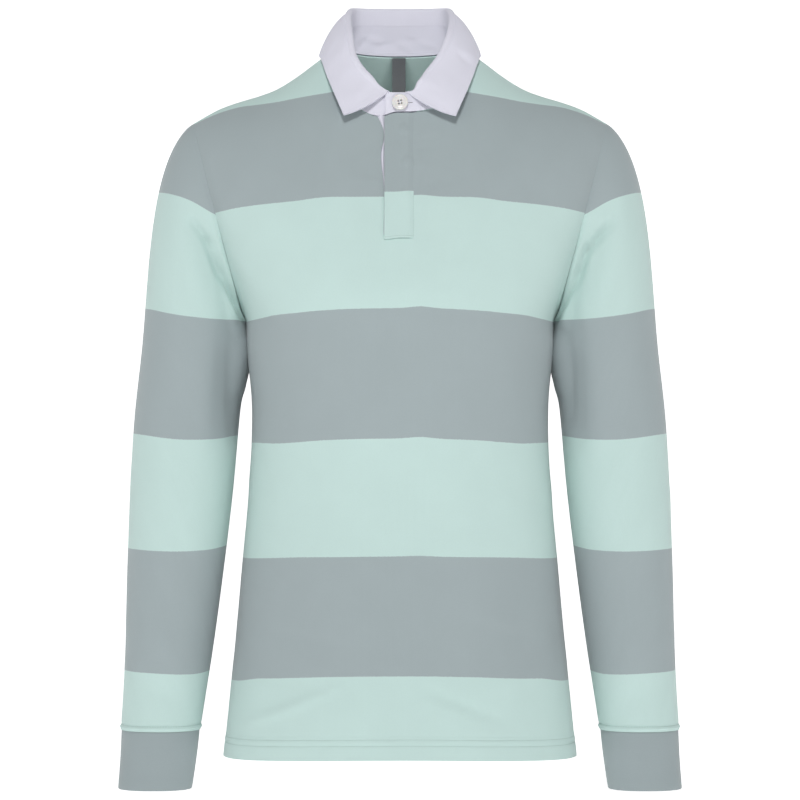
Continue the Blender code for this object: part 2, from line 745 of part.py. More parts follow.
def fold_depth(point):
    """How far the armpit folds move the cloth out at a point."""
    face = FRONT if point[1] < 0 else BACK
    place = np.array((abs(point[0]), point[2]))
    total = 0.0
    for row in ARMPIT_FOLDS:
        fold = dict(zip(FOLD_COLUMNS, row))
        if fold["face"] != face:
            continue
        start = np.array((fold["x0"], fold["z0"]))
        run = np.array((fold["x1"], fold["z1"])) - start
        share = float(np.dot(place - start, run) / np.dot(run, run))
        held = min(max(share, 0.0), 1.0)
        away = np.linalg.norm(place - start - run * held)
        fade = math.sin(math.pi * (FOLD_END + (1 - 2 * FOLD_END) * held))
        total += fold["depth"] * fade * math.exp(-(away / fold["width"]) ** 2)
    return total


def make_sleeve(name, front, back, side):
    """One sleeve, a closed tube that is open at the armhole and the cuff."""
    rings, plane = sleeve_points(front, back, side)
    flip = side > 0
    normals = grid_normals(rings, flip=flip, around=True)
    if np.dot(normals[-3, len(normals[0]) // 2], (side, 0, 0)) < 0:
        normals = -normals
        flip = not flip
    depths = np.array([[fold_depth(point) for point in ring] for ring in rings])
    held = np.array([ease(row / FOLD_FIRST_RINGS) for row in range(len(rings))])
    rings = rings + normals * (depths * held[:, None])[:, :, None]
    normals = grid_normals(rings, flip=flip, around=True)
    flat = normals[0] - plane * np.sum(normals[0] * plane, axis=1, keepdims=True)
    centre = rings[0].mean(axis=0)
    outward = rings[0] - centre
    outward -= plane * np.sum(outward * plane, axis=1, keepdims=True)
    flat = np.where(np.linalg.norm(flat, axis=1, keepdims=True) > 0.5, flat, outward)
    flat = flat * np.sign(np.sum(flat * outward, axis=1, keepdims=True))
    normals[0] = unit(flat)
    normals[-1, :, 2] = 0.0
    normals[-1] = unit(normals[-1])
    inner = rings - normals * WALL
    wall_object(name, rings, inner, MINT, flip=flip, around=True)


def make_cuff(name, side):
    """One cuff, a short straight tube below the sleeve."""
    turns = np.linspace(0, 2 * math.pi, CUFF_SIDES + 1)[:-1]
    heights = [row[0] for row in CUFF_SECTIONS]
    rings = np.array([sleeve_ring(CUFF, side, z, turns) for z in heights])
    flip = side > 0
    normals = grid_normals(rings, flip=flip, around=True)
    if np.dot(normals[1, len(turns) // 2], (side, 0, 0)) < 0:
        normals = -normals
        flip = not flip
    normals[:, :, 2] = 0.0
    normals = unit(normals)
    wall_object(name, rings, rings - normals * WALL, GREY, flip=flip, around=True)


def make_button(band, normals):
    """A round dished button with a raised rim and four holes."""
    last = band.shape[1] - 1
    low = (band[0, last - 1] + band[0, last - 2]) / 2
    high = (band[-1, last - 1] + band[-1, last - 2]) / 2
    share = (BUTTON_Z - low[2]) / (high[2] - low[2])
    seat = low + (high - low) * share
    seat[0] = 0.0
    facing = unit(normals[1, last - 1] * (0, 1, 1))
    shape = bmesh.new()
    turns = np.linspace(0, 2 * math.pi, BUTTON_SIDES + 1)[:-1]
    rings = []
    for radius, height in BUTTON_PROFILE:
        rings.append([
            shape.verts.new((radius * math.cos(t), radius * math.sin(t), height))
            for t in turns
        ])
    shape.faces.new(rings[0])
    for upper, lower in zip(rings, rings[1:]):
        for k in range(BUTTON_SIDES):
            beside = (k + 1) % BUTTON_SIDES
            shape.faces.new((upper[beside], upper[k], lower[k], lower[beside]))
    shape.faces.new(rings[-1][::-1])
    mesh = bpy.data.meshes.new("button")
    shape.to_mesh(mesh)
    shape.free()
    button = finish_object("button", mesh, SHELL)
    for number in range(4):
        turn = BUTTON_TURN + math.pi / 4 + math.pi / 2 * number
        cutter = make_hole_cutter(turn)
        cut = button.modifiers.new("hole", "BOOLEAN")
        cut.operation = "DIFFERENCE"
        cut.solver = "EXACT"
        cut.object = cutter
        cutter.parent = button
    tilt = math.atan2(-facing[1], facing[2])
    button.location = seat + facing * BUTTON_SHANK
    button.rotation_euler = (tilt, 0.0, 0.0)


def make_hole_cutter(turn):
    """The tool that drills one thread hole through the button."""
    reach = BUTTON_HOLE_SPACING * math.sqrt(2)
    shape = bmesh.new()
    bmesh.ops.create_cone(
        shape, cap_ends=True, segments=BUTTON_HOLE_SIDES, radius1=BUTTON_HOLE_RADIUS,
        radius2=BUTTON_HOLE_RADIUS, depth=BUTTON_THICKNESS * 3,
    )
    mesh = bpy.data.meshes.new("hole_cutter")
    shape.to_mesh(mesh)
    shape.free()
    cutter = bpy.data.objects.new("hole_cutter", mesh)
    cutter.location = (reach * math.cos(turn), reach * math.sin(turn), 0.0)
    cutter.hide_render = True
    cutter.display_type = "WIRE"
    bpy.context.scene.collection.objects.link(cutter)
    return cutter


def make_label(band, normals):
    """The bare woven label that hangs from the band inside the back neck."""
    centre = band.shape[1] // 2
    top = band[0, centre] - normals[0, centre] * WALL
    outer = []
    for s in np.linspace(0, 1, LABEL_ROWS):
        drop = LABEL_LENGTH * s
        y = top[1] - LABEL_CLEAR + LABEL_SLOPE * drop * s
        z = top[2] - LABEL_DROP - drop
        outer.append([(x, y, z) for x in np.linspace(LABEL_LEFT, LABEL_RIGHT, 3)])
    outer = np.array(outer)[::-1]
    normals = grid_normals(outer)
    inner = outer - normals * LABEL_WALL
    wall_object("neck_label", outer, inner, DARK)


def build():
    """Remove what the scene holds, then make every piece of the shirt."""
    for thing in list(bpy.data.objects):
        bpy.data.objects.remove(thing, do_unlink=True)
    front, front_normals = make_panel("front", FRONT)
    back, _ = make_panel("back", BACK)
    sides = (PLACKET_LEFT, PLACKET_RIGHT)
    lift = SEAM_GAP + WALL
    make_strip("placket", front, front_normals, sides, PLACKET_BOTTOM_Z, lift, MINT)
    sides = (UNDER_LEFT, UNDER_RIGHT)
    lift = -WALL - SEAM_GAP * UNDER_CLEAR
    make_strip("under_placket", front, front_normals, sides, UNDER_BOTTOM_Z, lift, WHITE)
    band, band_normals = make_collar(front, back)
    make_button(band, band_normals)
    make_label(band, band_normals)
    for name, side in (("left", -1), ("right", 1)):
        make_sleeve("sleeve_" + name, front, back, side)
        make_cuff("cuff_" + name, side)


build()
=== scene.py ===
# %% [markdown]
# A long-sleeve polo shirt in wide stripes, filled out as it is worn, with no
# wearer inside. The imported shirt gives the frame: one plain node for each
# sewn piece. Here every piece is made again as a thin shell of cloth on the
# same form, with finer folds, knitted bands, stitching and a real button.
# The form is worked out again from named sizes, because a fine grid that
# follows a rule can be folded, banded and sewn point by point.

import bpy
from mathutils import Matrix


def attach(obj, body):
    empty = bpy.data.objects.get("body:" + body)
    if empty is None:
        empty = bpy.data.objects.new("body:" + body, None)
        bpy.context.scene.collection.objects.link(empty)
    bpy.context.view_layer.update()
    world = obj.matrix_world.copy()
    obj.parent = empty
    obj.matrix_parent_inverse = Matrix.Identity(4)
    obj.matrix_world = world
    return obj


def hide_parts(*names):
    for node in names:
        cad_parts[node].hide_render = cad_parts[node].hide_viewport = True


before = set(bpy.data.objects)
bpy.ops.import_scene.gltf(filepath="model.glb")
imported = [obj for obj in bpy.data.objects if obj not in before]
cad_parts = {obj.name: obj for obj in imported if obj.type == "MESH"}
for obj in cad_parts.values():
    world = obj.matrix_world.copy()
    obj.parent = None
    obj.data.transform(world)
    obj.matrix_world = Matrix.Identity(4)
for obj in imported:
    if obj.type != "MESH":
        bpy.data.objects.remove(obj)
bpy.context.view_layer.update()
print("packed nodes:", sorted(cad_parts))

# %% [markdown]
# The forms are kept in small tables, with one row for each height or angle
# and one named column for each size. A smooth curve through each column gives
# the sizes between the rows, so a few rows are enough for soft cloth.

# %% Tools for the rest of the lesson
import math

import bpy
import numpy as np
from mathutils import Vector

FRONT = -1
BACK = 1
LEFT = -1
RIGHT = 1


def smooth_curves(columns, rows):
    """One smooth curve for each named column, over the first column."""
    data = np.array(sorted(rows), float)
    keys = data[:, 0]
    found = {}
    for number, name in enumerate(columns[1:], start=1):
        values = data[:, number]
        found[name] = (keys, values, np.gradient(values, keys))
    return found


def read(curve, key):
    """Values of a smooth curve, held level past its ends."""
    keys, values, slopes = curve
    key = np.clip(key, keys[0], keys[-1])
    left = np.clip(np.searchsorted(keys, key, side="right") - 1, 0, len(keys) - 2)
    span = keys[left + 1] - keys[left]
    s = (key - keys[left]) / span
    low = values[left] * (1 + 2 * s) + slopes[left] * span * s
    high = values[left + 1] * (3 - 2 * s) + slopes[left + 1] * span * (s - 1)
    return low * (1 - s) ** 2 + high * s ** 2


def ease(value):
    """Smooth step from 0 to 1."""
    value = np.clip(value, 0.0, 1.0)
    return value * value * (3 - 2 * value)


def unit(vectors):
    """Vectors of length one."""
    vectors = np.asarray(vectors, float)
    return vectors / np.linalg.norm(vectors, axis=-1, keepdims=True)


# %% [markdown]
# The shirt was photographed from straight ahead, at about the height of its
# waist. A long lens from a few metres away keeps the hem and the collar level,
# as the photo shows them.

# %% Camera
CAMERA_DISTANCE = 3.2
CAMERA_HEIGHT = -0.343
LENS = 144.0
SENSOR = 36.0

lens = bpy.data.cameras.new("camera")
lens.lens = LENS
lens.sensor_width = SENSOR
camera = bpy.data.objects.new("camera", lens)
camera.location = (0.0, -CAMERA_DISTANCE, CAMERA_HEIGHT)
camera.rotation_euler = (math.pi / 2, 0.0, 0.0)
bpy.context.scene.collection.objects.link(camera)
bpy.context.scene.camera = camera
print("camera at", tuple(camera.location))

# %% [markdown]
# A catalogue studio is a white sweep with a large soft lamp on each side of
# the lens and a faint one under it. The sweep is a floor that curves up into
# a wall, so no edge shows behind the shirt. One smaller lamp high above the
# lens gives the small dark shadows under the collar tips. A tiny lamp inside
# the shirt does what thin cotton does by letting light through: it brightens
# the neck.

# %% Sweep and lamps
FLOOR_Z = -0.80
SWEEP_BACK = 5.0
SWEEP_RADIUS = 1.4
SWEEP_TOP = 4.5
SWEEP_NEAR = -7.0
SWEEP_HALF_WIDTH = 7.0
SWEEP_STEPS = 24
PAPER_TONE = 0.93
PAPER_GLOW = 0.64
SKY_GLOW = 0.22
LAMP_COLUMNS = ("name", "place", "aim", "size", "watts")
LAMPS = (
    ("lamp_key", (-0.1, -2.1, 2.1), (0.0, 0.0, -0.28), 0.6, 45.0),
    ("lamp_left", (-2.6, -1.4, 0.3), (0.0, 0.0, -0.38), 1.5, 9.5),
    ("lamp_right", (2.6, -1.4, 0.3), (0.0, 0.0, -0.38), 1.5, 9.5),
    ("lamp_low", (0.0, -3.6, -0.6), (0.0, 0.0, -0.40), 1.2, 0.3),
    ("lamp_inside", (0.0, -0.014, -0.050), (0.0, 0.060, -0.036), 0.05, 0.038),
)


def make_sweep():
    """The white floor that curves up into the wall behind."""
    profile = [(SWEEP_NEAR, FLOOR_Z), (SWEEP_BACK - SWEEP_RADIUS, FLOOR_Z)]
    for step in range(1, SWEEP_STEPS + 1):
        turn = math.pi / 2 * step / SWEEP_STEPS
        y = SWEEP_BACK - SWEEP_RADIUS + SWEEP_RADIUS * math.sin(turn)
        z = FLOOR_Z + SWEEP_RADIUS * (1 - math.cos(turn))
        profile.append((y, z))
    profile.append((SWEEP_BACK, SWEEP_TOP))
    points = []
    for y, z in profile:
        points.append((-SWEEP_HALF_WIDTH, y, z))
        points.append((SWEEP_HALF_WIDTH, y, z))
    faces = []
    for step in range(len(profile) - 1):
        low = 2 * step
        faces.append((low, low + 1, low + 3, low + 2))
    mesh = bpy.data.meshes.new("sweep")
    mesh.from_pydata(points, [], faces)
    mesh.shade_smooth()
    sweep = bpy.data.objects.new("sweep", mesh)
    bpy.context.scene.collection.objects.link(sweep)
    return sweep


def make_lamp(name, place, aim, size, watts):
    """One square soft lamp that points at its aim."""
    light = bpy.data.lights.new(name, "AREA")
    light.shape = "SQUARE"
    light.size = size
    light.energy = watts
    lamp = bpy.data.objects.new(name, light)
    lamp.location = place
    turn = (Vector(aim) - Vector(place)).to_track_quat("-Z", "Y")
    lamp.rotation_euler = turn.to_euler()
    lamp.visible_camera = False
    bpy.context.scene.collection.objects.link(lamp)


sweep = make_sweep()
for row in LAMPS:
    make_lamp(**dict(zip(LAMP_COLUMNS, row)))

paper = bpy.data.materials.new("white_paper")
paper.use_nodes = True
paper_shader = paper.node_tree.nodes["Principled BSDF"]
paper_shader.inputs["Base Color"].default_value = (PAPER_TONE, PAPER_TONE, PAPER_TONE, 1.0)
paper_shader.inputs["Roughness"].default_value = 1.0
paper_shader.inputs["Emission Color"].default_value = (1.0, 1.0, 1.0, 1.0)
paper_shader.inputs["Emission Strength"].default_value = PAPER_GLOW
sweep.data.materials.append(paper)

studio = bpy.data.worlds.new("studio")
studio.use_nodes = True
studio.node_tree.nodes["Background"].inputs["Color"].default_value = (1.0, 1.0, 1.0, 1.0)
studio.node_tree.nodes["Background"].inputs["Strength"].default_value = SKY_GLOW
bpy.context.scene.world = studio
bpy.context.scene.view_settings.view_transform = "Standard"
print("sweep and", len(LAMPS), "lamps")

# %% [markdown]
# The body is a hollow form given by level sections: how wide it is, and how
# far it reaches forward and back. Above the armholes the cloth climbs to the
# shoulder line in a rounded crest. The same named sizes made the packed
# nodes, so the shells lie where the nodes are.

# %% Form of the body
SECTION_COLUMNS = ("height", "half_width", "front", "back")
BODY_SECTIONS = (
    (-0.698, 0.1760, 0.118, 0.120),
    (-0.653, 0.1715, 0.117, 0.118),
    (-0.573, 0.1635, 0.112, 0.110),
    (-0.493, 0.1563, 0.108, 0.098),
    (-0.453, 0.1525, 0.107, 0.094),
    (-0.413, 0.1495, 0.108, 0.092),
    (-0.373, 0.1480, 0.111, 0.095),
    (-0.333, 0.1490, 0.116, 0.102),
    (-0.298, 0.1520, 0.120, 0.109),
    (-0.265, 0.1550, 0.1235, 0.116),
)
CHEST_SECTIONS = (
    (-0.265, 0.1550, 0.1235, 0.116),
    (-0.240, 0.1640, 0.125, 0.120),
    (-0.200, 0.1786, 0.125, 0.1235),
    (-0.150, 0.2000, 0.125, 0.125),
    (-0.100, 0.2200, 0.125, 0.125),
    (-0.060, 0.2330, 0.125, 0.125),
    (0.020, 0.2400, 0.125, 0.125),
)
SHOULDER_COLUMNS = ("out", "height")
SHOULDER_LINE = (
    (0.0000, 0.0150),
    (0.0300, 0.0145),
    (0.0500, 0.0125),
    (0.0640, 0.0090),
    (0.0820, -0.0035),
    (0.1055, -0.0210),
    (0.1255, -0.0330),
    (0.1415, -0.0390),
    (0.1615, -0.0450),
    (0.1785, -0.0510),
    (0.2065, -0.0660),
)
UNDERARM_Z = -0.265
SIDE_HEM_Z = -0.6965
HEM_RISE = {FRONT: 0.006, BACK: -0.0015}
SECTION_POWER = 2.4
CREST_START = {FRONT: -0.240, BACK: -0.170}
CREST_POWER = {FRONT: (1.35, 1.80), BACK: (2.40, 2.10)}
CREST_SPREAD = 0.18
SHOULDER_TIP = 0.2065
DEPTH_NAME = {FRONT: "front", BACK: "back"}
CREST_PASSES = 4

BODY = smooth_curves(SECTION_COLUMNS, BODY_SECTIONS)
CHEST = smooth_curves(SECTION_COLUMNS, CHEST_SECTIONS)
SHOULDER = smooth_curves(SHOULDER_COLUMNS, SHOULDER_LINE)


def section(name, z):
    """One size of the body's section at each height."""
    return np.where(z <= UNDERARM_Z, read(BODY[name], z), read(CHEST[name], z))


def crest(x, face):
    """Start height, top height and roundness of the body's crest at x."""
    middle, side = CREST_POWER[face]
    power = middle + (side - middle) * ease(np.abs(x) / CREST_SPREAD)
    return CREST_START[face], read(SHOULDER["height"], np.abs(x)), power


def body_y(x, z, face):
    """Where the body's outer surface lies, forward or back of the sides."""
    reach = np.minimum(np.abs(x) / section("half_width", z), 1.0)
    across = (1 - reach ** SECTION_POWER) ** (1 / SECTION_POWER)
    start, top, power = crest(x, face)
    climb = np.clip((z - start) / (top - start), 0.0, 1.0)
    depth = section(DEPTH_NAME[face], z)
    return face * depth * across * (1 - climb ** power) ** (1 / power)


def body_z(x, y, face):
    """Height of the body's crest over a point near the neck."""
    start, top, power = crest(x, face)
    z = top
    for _ in range(CREST_PASSES):
        reach = np.abs(x) / section("half_width", z)
        across = (1 - reach ** SECTION_POWER) ** (1 / SECTION_POWER)
        out = np.minimum(np.abs(y) / (section(DEPTH_NAME[face], z) * across), 1.0)
        z = start + (top - start) * (1 - out ** power) ** (1 / power)
    return z


print("chest is", round(float(2 * section("half_width", -0.30)), 3), "m wide")

# %% [markdown]
# The neckline dips in front and rises a little at the back. On the real shirt
# the viewer's left side hangs slightly lower, because the placket laps over
# it from the right.

# %% Neckline and placket slit
NECK_HALF = 0.064
NECK_POINT_Z = 0.009
FRONT_NECK_DROP = 0.070
FRONT_NECK_CURVE = 0.714
BACK_NECK_REACH = 0.052
BACK_NECK_CURVE = 0.80
SMALL_ANGLE = 1e-9
LEFT_DIP = 0.0055
LEFT_DIP_FROM = 0.062
LEFT_DIP_TO = 0.027
NOTCH_TOP_LEFT = 0.0220
NOTCH_RIGHT = 0.0090
NOTCH_MIDDLE = -0.0030
NOTCH_BOTTOM_Z = -0.1820
NOTCH_COLUMNS = ("height", "out")
NOTCH_LEFT_EDGE = (
    (-0.280, 0.0158),
    (-0.183, 0.0158),
    (-0.134, 0.0158),
    (-0.104, 0.0186),
    (-0.080, 0.0160),
    (-0.065, NOTCH_TOP_LEFT),
)
NOTCH = smooth_curves(NOTCH_COLUMNS, NOTCH_LEFT_EDGE)


def neckline(angle):
    """Body edge at the neck: 0 is the centre front, 180 the centre back."""
    side = 1 if angle >= 0 else -1
    turn = math.radians(abs(angle))
    if turn <= math.pi / 2 + SMALL_ANGLE:
        bend = max(math.cos(turn), 0.0) ** FRONT_NECK_CURVE
        x = NECK_HALF * math.sin(turn) ** FRONT_NECK_CURVE
        z = NECK_POINT_Z - FRONT_NECK_DROP * bend
        if side < 0:
            reach = (LEFT_DIP_FROM - x) / (LEFT_DIP_FROM - LEFT_DIP_TO)
            centre = (x + NOTCH_MIDDLE) / (NOTCH_TOP_LEFT + NOTCH_MIDDLE)
            z -= LEFT_DIP * float(ease(reach) * ease(centre))
        return np.array((side * x, float(body_y(x, z, FRONT)), z))
    turn = math.pi - turn
    x = NECK_HALF * max(math.sin(turn), 0.0) ** BACK_NECK_CURVE
    y = BACK_NECK_REACH * math.cos(turn) ** BACK_NECK_CURVE
    return np.array((side * x, y, float(body_z(x, y, BACK))))


def neck_angle(x):
    """Angle round the neck at which the front neckline reaches x."""
    turn = math.asin((abs(x) / NECK_HALF) ** (1 / FRONT_NECK_CURVE))
    return math.copysign(math.degrees(turn), x)


print("front neckline dips to", round(float(neckline(0)[2]), 4))

# %% [markdown]
# Each body panel is a grid of points: columns run up the cloth from the hem
# to the neck or the shoulder, and rows run round the body. The rows above the
# underarm are shares of each column's length, so the front, the back and the
# sleeve meet row for row at the armhole.

# %% Grid of a body panel
LOW_ROWS = 150
HEM_FINE = 0.0260
HEM_FINE_ROWS = 26
NOTCH_LOW_ROWS = 28
NOTCH_HIGH_ROWS = 50
NECK_CELLS = 26
SHOULDER_CELLS = 34
NOTCH_CELLS = 8
COLUMN_SAMPLES = 241
SIDE_SAMPLES = 400
SHARE_SAMPLES = 800


def side_fractions(start, face, cells):
    """Places across the underarm section, evenly along the cloth to the side."""
    half = float(section("half_width", UNDERARM_Z))
    first = math.asin((start / half) ** (SECTION_POWER / 2))
    turns = np.linspace(first, math.pi / 2, SIDE_SAMPLES)
    across = np.sin(turns) ** (2 / SECTION_POWER)
    depth = float(section(DEPTH_NAME[face], UNDERARM_Z))
    deep = depth * np.maximum(np.cos(turns), 0.0) ** (2 / SECTION_POWER)
    steps = np.hypot(np.diff(across * half), np.diff(deep))
    length = np.concatenate(([0.0], np.cumsum(steps)))
    return np.interp(np.linspace(0, length[-1], cells + 1), length, across)


def column_up(face, x_path, z_top, shares):
    """Points up one column of the chest, at shares of its length of cloth."""
    rise = np.sin(np.linspace(0, math.pi / 2, COLUMN_SAMPLES))
    heights = UNDERARM_Z + (z_top - UNDERARM_Z) * rise
    places = x_path(heights)
    line = np.stack((places, body_y(places, heights, face), heights), axis=1)
    steps = np.linalg.norm(np.diff(line, axis=0), axis=1)
    length = np.concatenate(([0.0], np.cumsum(steps)))
    goals = np.asarray(shares) * length[-1]
    return np.stack([np.interp(goals, length, line[:, k]) for k in range(3)], axis=1)


def straight_path(x_low, x_top, z_top):
    """A column that leans evenly from the underarm row to its top."""
    def path(z):
        return x_low + (x_top - x_low) * (z - UNDERARM_Z) / (z_top - UNDERARM_Z)
    return path


def notch_path(share):
    """A column inside the placket slit, at a share of the way across it."""
    def path(z):
        left = -read(NOTCH["out"], z)
        return left + (NOTCH_RIGHT - left) * share
    return path


def half_columns(face, side):
    """Low share, path and top height of each column, from the middle out."""
    half = float(section("half_width", UNDERARM_Z))
    shoulders = np.linspace(NECK_HALF, SHOULDER_TIP, SHOULDER_CELLS + 1)[1:]
    first_x = 0.0
    first_angle = 180.0
    if face == FRONT:
        first_x = float(read(NOTCH["out"], UNDERARM_Z)) if side < 0 else NOTCH_RIGHT
        first_angle = abs(neck_angle(NOTCH_TOP_LEFT if side < 0 else NOTCH_RIGHT))
    angles = side * np.linspace(first_angle, 90, NECK_CELLS + 1)
    tops = [neckline(angle)[::2] for angle in angles]
    tops += [(side * x, float(read(SHOULDER["height"], x))) for x in shoulders]
    lows = side_fractions(first_x, face, NECK_CELLS + SHOULDER_CELLS)
    columns = []
    for fraction, (x_top, z_top) in zip(lows, tops):
        path = straight_path(side * fraction * half, x_top, z_top)
        columns.append((side * fraction, path, z_top))
    return columns


def panel_columns(face):
    """Every column of a body panel, from the viewer's left to right."""
    left = half_columns(face, LEFT)
    right = half_columns(face, RIGHT)
    if face == BACK:
        return left[::-1] + right[1:]
    half = float(section("half_width", UNDERARM_Z))
    left[0] = (left[0][0], notch_path(0.0), left[0][2])
    slit = []
    for share in np.linspace(0, 1, NOTCH_CELLS + 1)[1:-1]:
        x_top = -NOTCH_TOP_LEFT + (NOTCH_RIGHT + NOTCH_TOP_LEFT) * share
        path = notch_path(share)
        x_low = float(path(np.array(UNDERARM_Z)))
        slit.append((x_low / half, path, float(neckline(neck_angle(x_top))[2])))
    return left[::-1] + slit + right


def chest_shares():
    """Shares of each chest column's length at which its rows lie."""
    z_top = float(neckline(neck_angle(NOTCH_MIDDLE))[2])
    path = straight_path(NOTCH_MIDDLE, NOTCH_MIDDLE, z_top)
    fine = np.linspace(0, 1, SHARE_SAMPLES)
    heights = column_up(FRONT, path, z_top, fine)[:, 2]
    notch = float(np.interp(NOTCH_BOTTOM_Z, heights, fine))
    low = np.linspace(0, notch, NOTCH_LOW_ROWS + 1)
    high = np.linspace(notch, 1, NOTCH_HIGH_ROWS + 1)
    return np.concatenate((low, high[1:]))


def low_heights(hem):
    """Heights of a column's rows under the arm, close together at the hem."""
    fine = np.linspace(hem, hem + HEM_FINE, HEM_FINE_ROWS + 1)[:-1]
    rest = np.linspace(hem + HEM_FINE, UNDERARM_Z, LOW_ROWS - HEM_FINE_ROWS + 1)[:-1]
    return np.concatenate((fine, rest))


def panel_points(face):
    """Outer points of the front or back panel, row by row from the hem."""
    shares = chest_shares()
    grid = []
    for fraction, path, z_top in panel_columns(face):
        hem = SIDE_HEM_Z + HEM_RISE[face] * (1 - fraction ** 2)
        heights = low_heights(hem)
        places = fraction * section("half_width", heights)
        low = np.stack((places, body_y(places, heights, face), heights), axis=1)
        grid.append(np.concatenate((low, column_up(face, path, z_top, shares))))
    return np.array(grid).transpose(1, 0, 2)


def grid_normals(points, flip=False, around=False):
    """Normals of a grid of points, from its neighbours."""
    if around:
        across = np.roll(points, -1, axis=1) - np.roll(points, 1, axis=1)
    else:
        across = np.gradient(points, axis=1)
    along = np.gradient(points, axis=0)
    normals = unit(np.cross(across, along))
    return -normals if flip else normals


front_form = panel_points(FRONT)
back_form = panel_points(BACK)
SLIT_LEFT = NECK_CELLS + SHOULDER_CELLS
print("front grid", front_form.shape[:2], "back grid", back_form.shape[:2])

# %% [markdown]
# Worn cloth is never smooth. The main creases run from the armpits, and the
# rest are long shallow waves where the knit hangs from the chest. Each is a
# soft trough or ridge between two places on the cloth, listed one by one in the
# photo's sizes. Their lengths, depths and spacing vary. The back has similar
# ones of its own.

# %% Soft troughs and ridges
FOLD_COLUMNS = ("face", "x0", "z0", "x1", "z1", "width", "depth")
BODY_FOLDS = (
    (FRONT, -0.176, -0.196, -0.146, -0.282, 0.0070, -0.0022),
    (FRONT, -0.160, -0.226, -0.118, -0.300, 0.0110, -0.0013),
    (FRONT, -0.150, -0.262, -0.128, -0.372, 0.0120, 0.0011),
    (FRONT, 0.177, -0.190, 0.148, -0.276, 0.0075, -0.0024),
    (FRONT, 0.164, -0.232, 0.126, -0.296, 0.0100, -0.0012),
    (FRONT, 0.151, -0.268, 0.136, -0.358, 0.0110, 0.0013),
    (FRONT, -0.148, -0.330, -0.104, -0.402, 0.0160, -0.0012),
    (FRONT, 0.150, -0.318, 0.096, -0.412, 0.0180, -0.0011),
    (FRONT, -0.150, -0.418, -0.086, -0.440, 0.0140, 0.0010),
    (FRONT, 0.152, -0.430, 0.090, -0.462, 0.0150, 0.0011),
    (FRONT, -0.040, -0.300, -0.062, -0.640, 0.0260, 0.0014),
    (FRONT, 0.058, -0.340, 0.078, -0.676, 0.0240, 0.0013),
    (FRONT, 0.012, -0.420, 0.022, -0.690, 0.0220, -0.0012),
    (FRONT, -0.100, -0.470, -0.118, -0.690, 0.0200, -0.0014),
    (FRONT, 0.118, -0.500, 0.132, -0.690, 0.0180, -0.0012),
    (FRONT, -0.150, -0.590, -0.070, -0.628, 0.0130, -0.0014),
    (FRONT, 0.152, -0.600, 0.060, -0.634, 0.0120, 0.0014),
    (FRONT, -0.150, -0.660, -0.062, -0.622, 0.0056, 0.0022),
    (FRONT, 0.026, -0.624, 0.098, -0.652, 0.0056, -0.0021),
    (FRONT, -0.120, -0.568, -0.060, -0.580, 0.0050, -0.0006),
    (FRONT, 0.070, -0.560, 0.126, -0.574, 0.0054, -0.0006),
    (FRONT, 0.014, -0.086, 0.040, -0.079, 0.0034, 0.0005),
    (FRONT, 0.012, -0.098, 0.034, -0.096, 0.0030, -0.0005),
    (FRONT, 0.016, -0.111, 0.036, -0.118, 0.0040, 0.0004),
    (FRONT, -0.020, -0.092, -0.052, -0.104, 0.0060, -0.0005),
    (FRONT, -0.018, -0.132, -0.046, -0.128, 0.0050, 0.0005),
    (FRONT, 0.018, -0.136, 0.046, -0.130, 0.0050, -0.0005),
    (FRONT, 0.180, -0.080, 0.140, -0.130, 0.0120, 0.0012),
    (FRONT, -0.182, -0.086, -0.138, -0.128, 0.0130, 0.0011),
    (FRONT, -0.120, -0.060, -0.070, -0.130, 0.0160, -0.0010),
    (FRONT, 0.114, -0.062, 0.062, -0.140, 0.0150, -0.0009),
    (BACK, -0.176, -0.200, -0.146, -0.290, 0.0080, -0.0024),
    (BACK, 0.178, -0.196, 0.148, -0.280, 0.0075, -0.0022),
    (BACK, -0.158, -0.236, -0.100, -0.300, 0.0120, -0.0014),
    (BACK, 0.160, -0.240, 0.110, -0.318, 0.0110, -0.0015),
    (BACK, -0.140, -0.120, -0.060, -0.230, 0.0150, -0.0030),
    (BACK, 0.142, -0.116, 0.070, -0.216, 0.0160, -0.0028),
    (BACK, 0.000, -0.080, -0.006, -0.260, 0.0200, 0.0026),
    (BACK, -0.120, -0.402, 0.040, -0.436, 0.0110, -0.0036),
    (BACK, 0.124, -0.384, -0.020, -0.410, 0.0100, 0.0030),
    (BACK, -0.130, -0.446, -0.030, -0.462, 0.0105, 0.0030),
    (BACK, 0.134, -0.440, 0.030, -0.474, 0.0110, -0.0034),
    (BACK, -0.050, -0.480, -0.072, -0.690, 0.0180, 0.0034),
    (BACK, 0.036, -0.500, 0.052, -0.690, 0.0190, -0.0036),
    (BACK, 0.110, -0.520, 0.128, -0.690, 0.0150, 0.0026),
    (BACK, -0.118, -0.500, -0.130, -0.690, 0.0150, -0.0028),
)
FOLD_END = 0.15


def fold_lift(points, facing, table):
    """How far a table of folds moves each point out along its normal."""
    lift = np.zeros(points.shape[:-1])
    place = points[..., ::2]
    for row in table:
        fold = dict(zip(FOLD_COLUMNS, row))
        start = np.array((fold["x0"], fold["z0"]))
        run = np.array((fold["x1"], fold["z1"])) - start
        share = np.clip(((place - start) @ run) / (run @ run), 0.0, 1.0)
        away = np.linalg.norm(place - start - share[..., None] * run, axis=-1)
        fade = np.sin(math.pi * (FOLD_END + (1 - 2 * FOLD_END) * share))
        shape = fold["depth"] * fade * np.exp(-(away / fold["width"]) ** 2)
        lift += np.where(facing == fold["face"], shape, 0.0)
    return lift


print(len(BODY_FOLDS), "folds on the body")

# %% [markdown]
# Seams pull their cloth in a little, so a panel sinks by less than a
# millimetre at the edges where it is sewn, and its folds fade out there. The
# hem is turned up and sewn flat, so the last two centimetres stand a little
# proud, with a groove under each row of stitches.

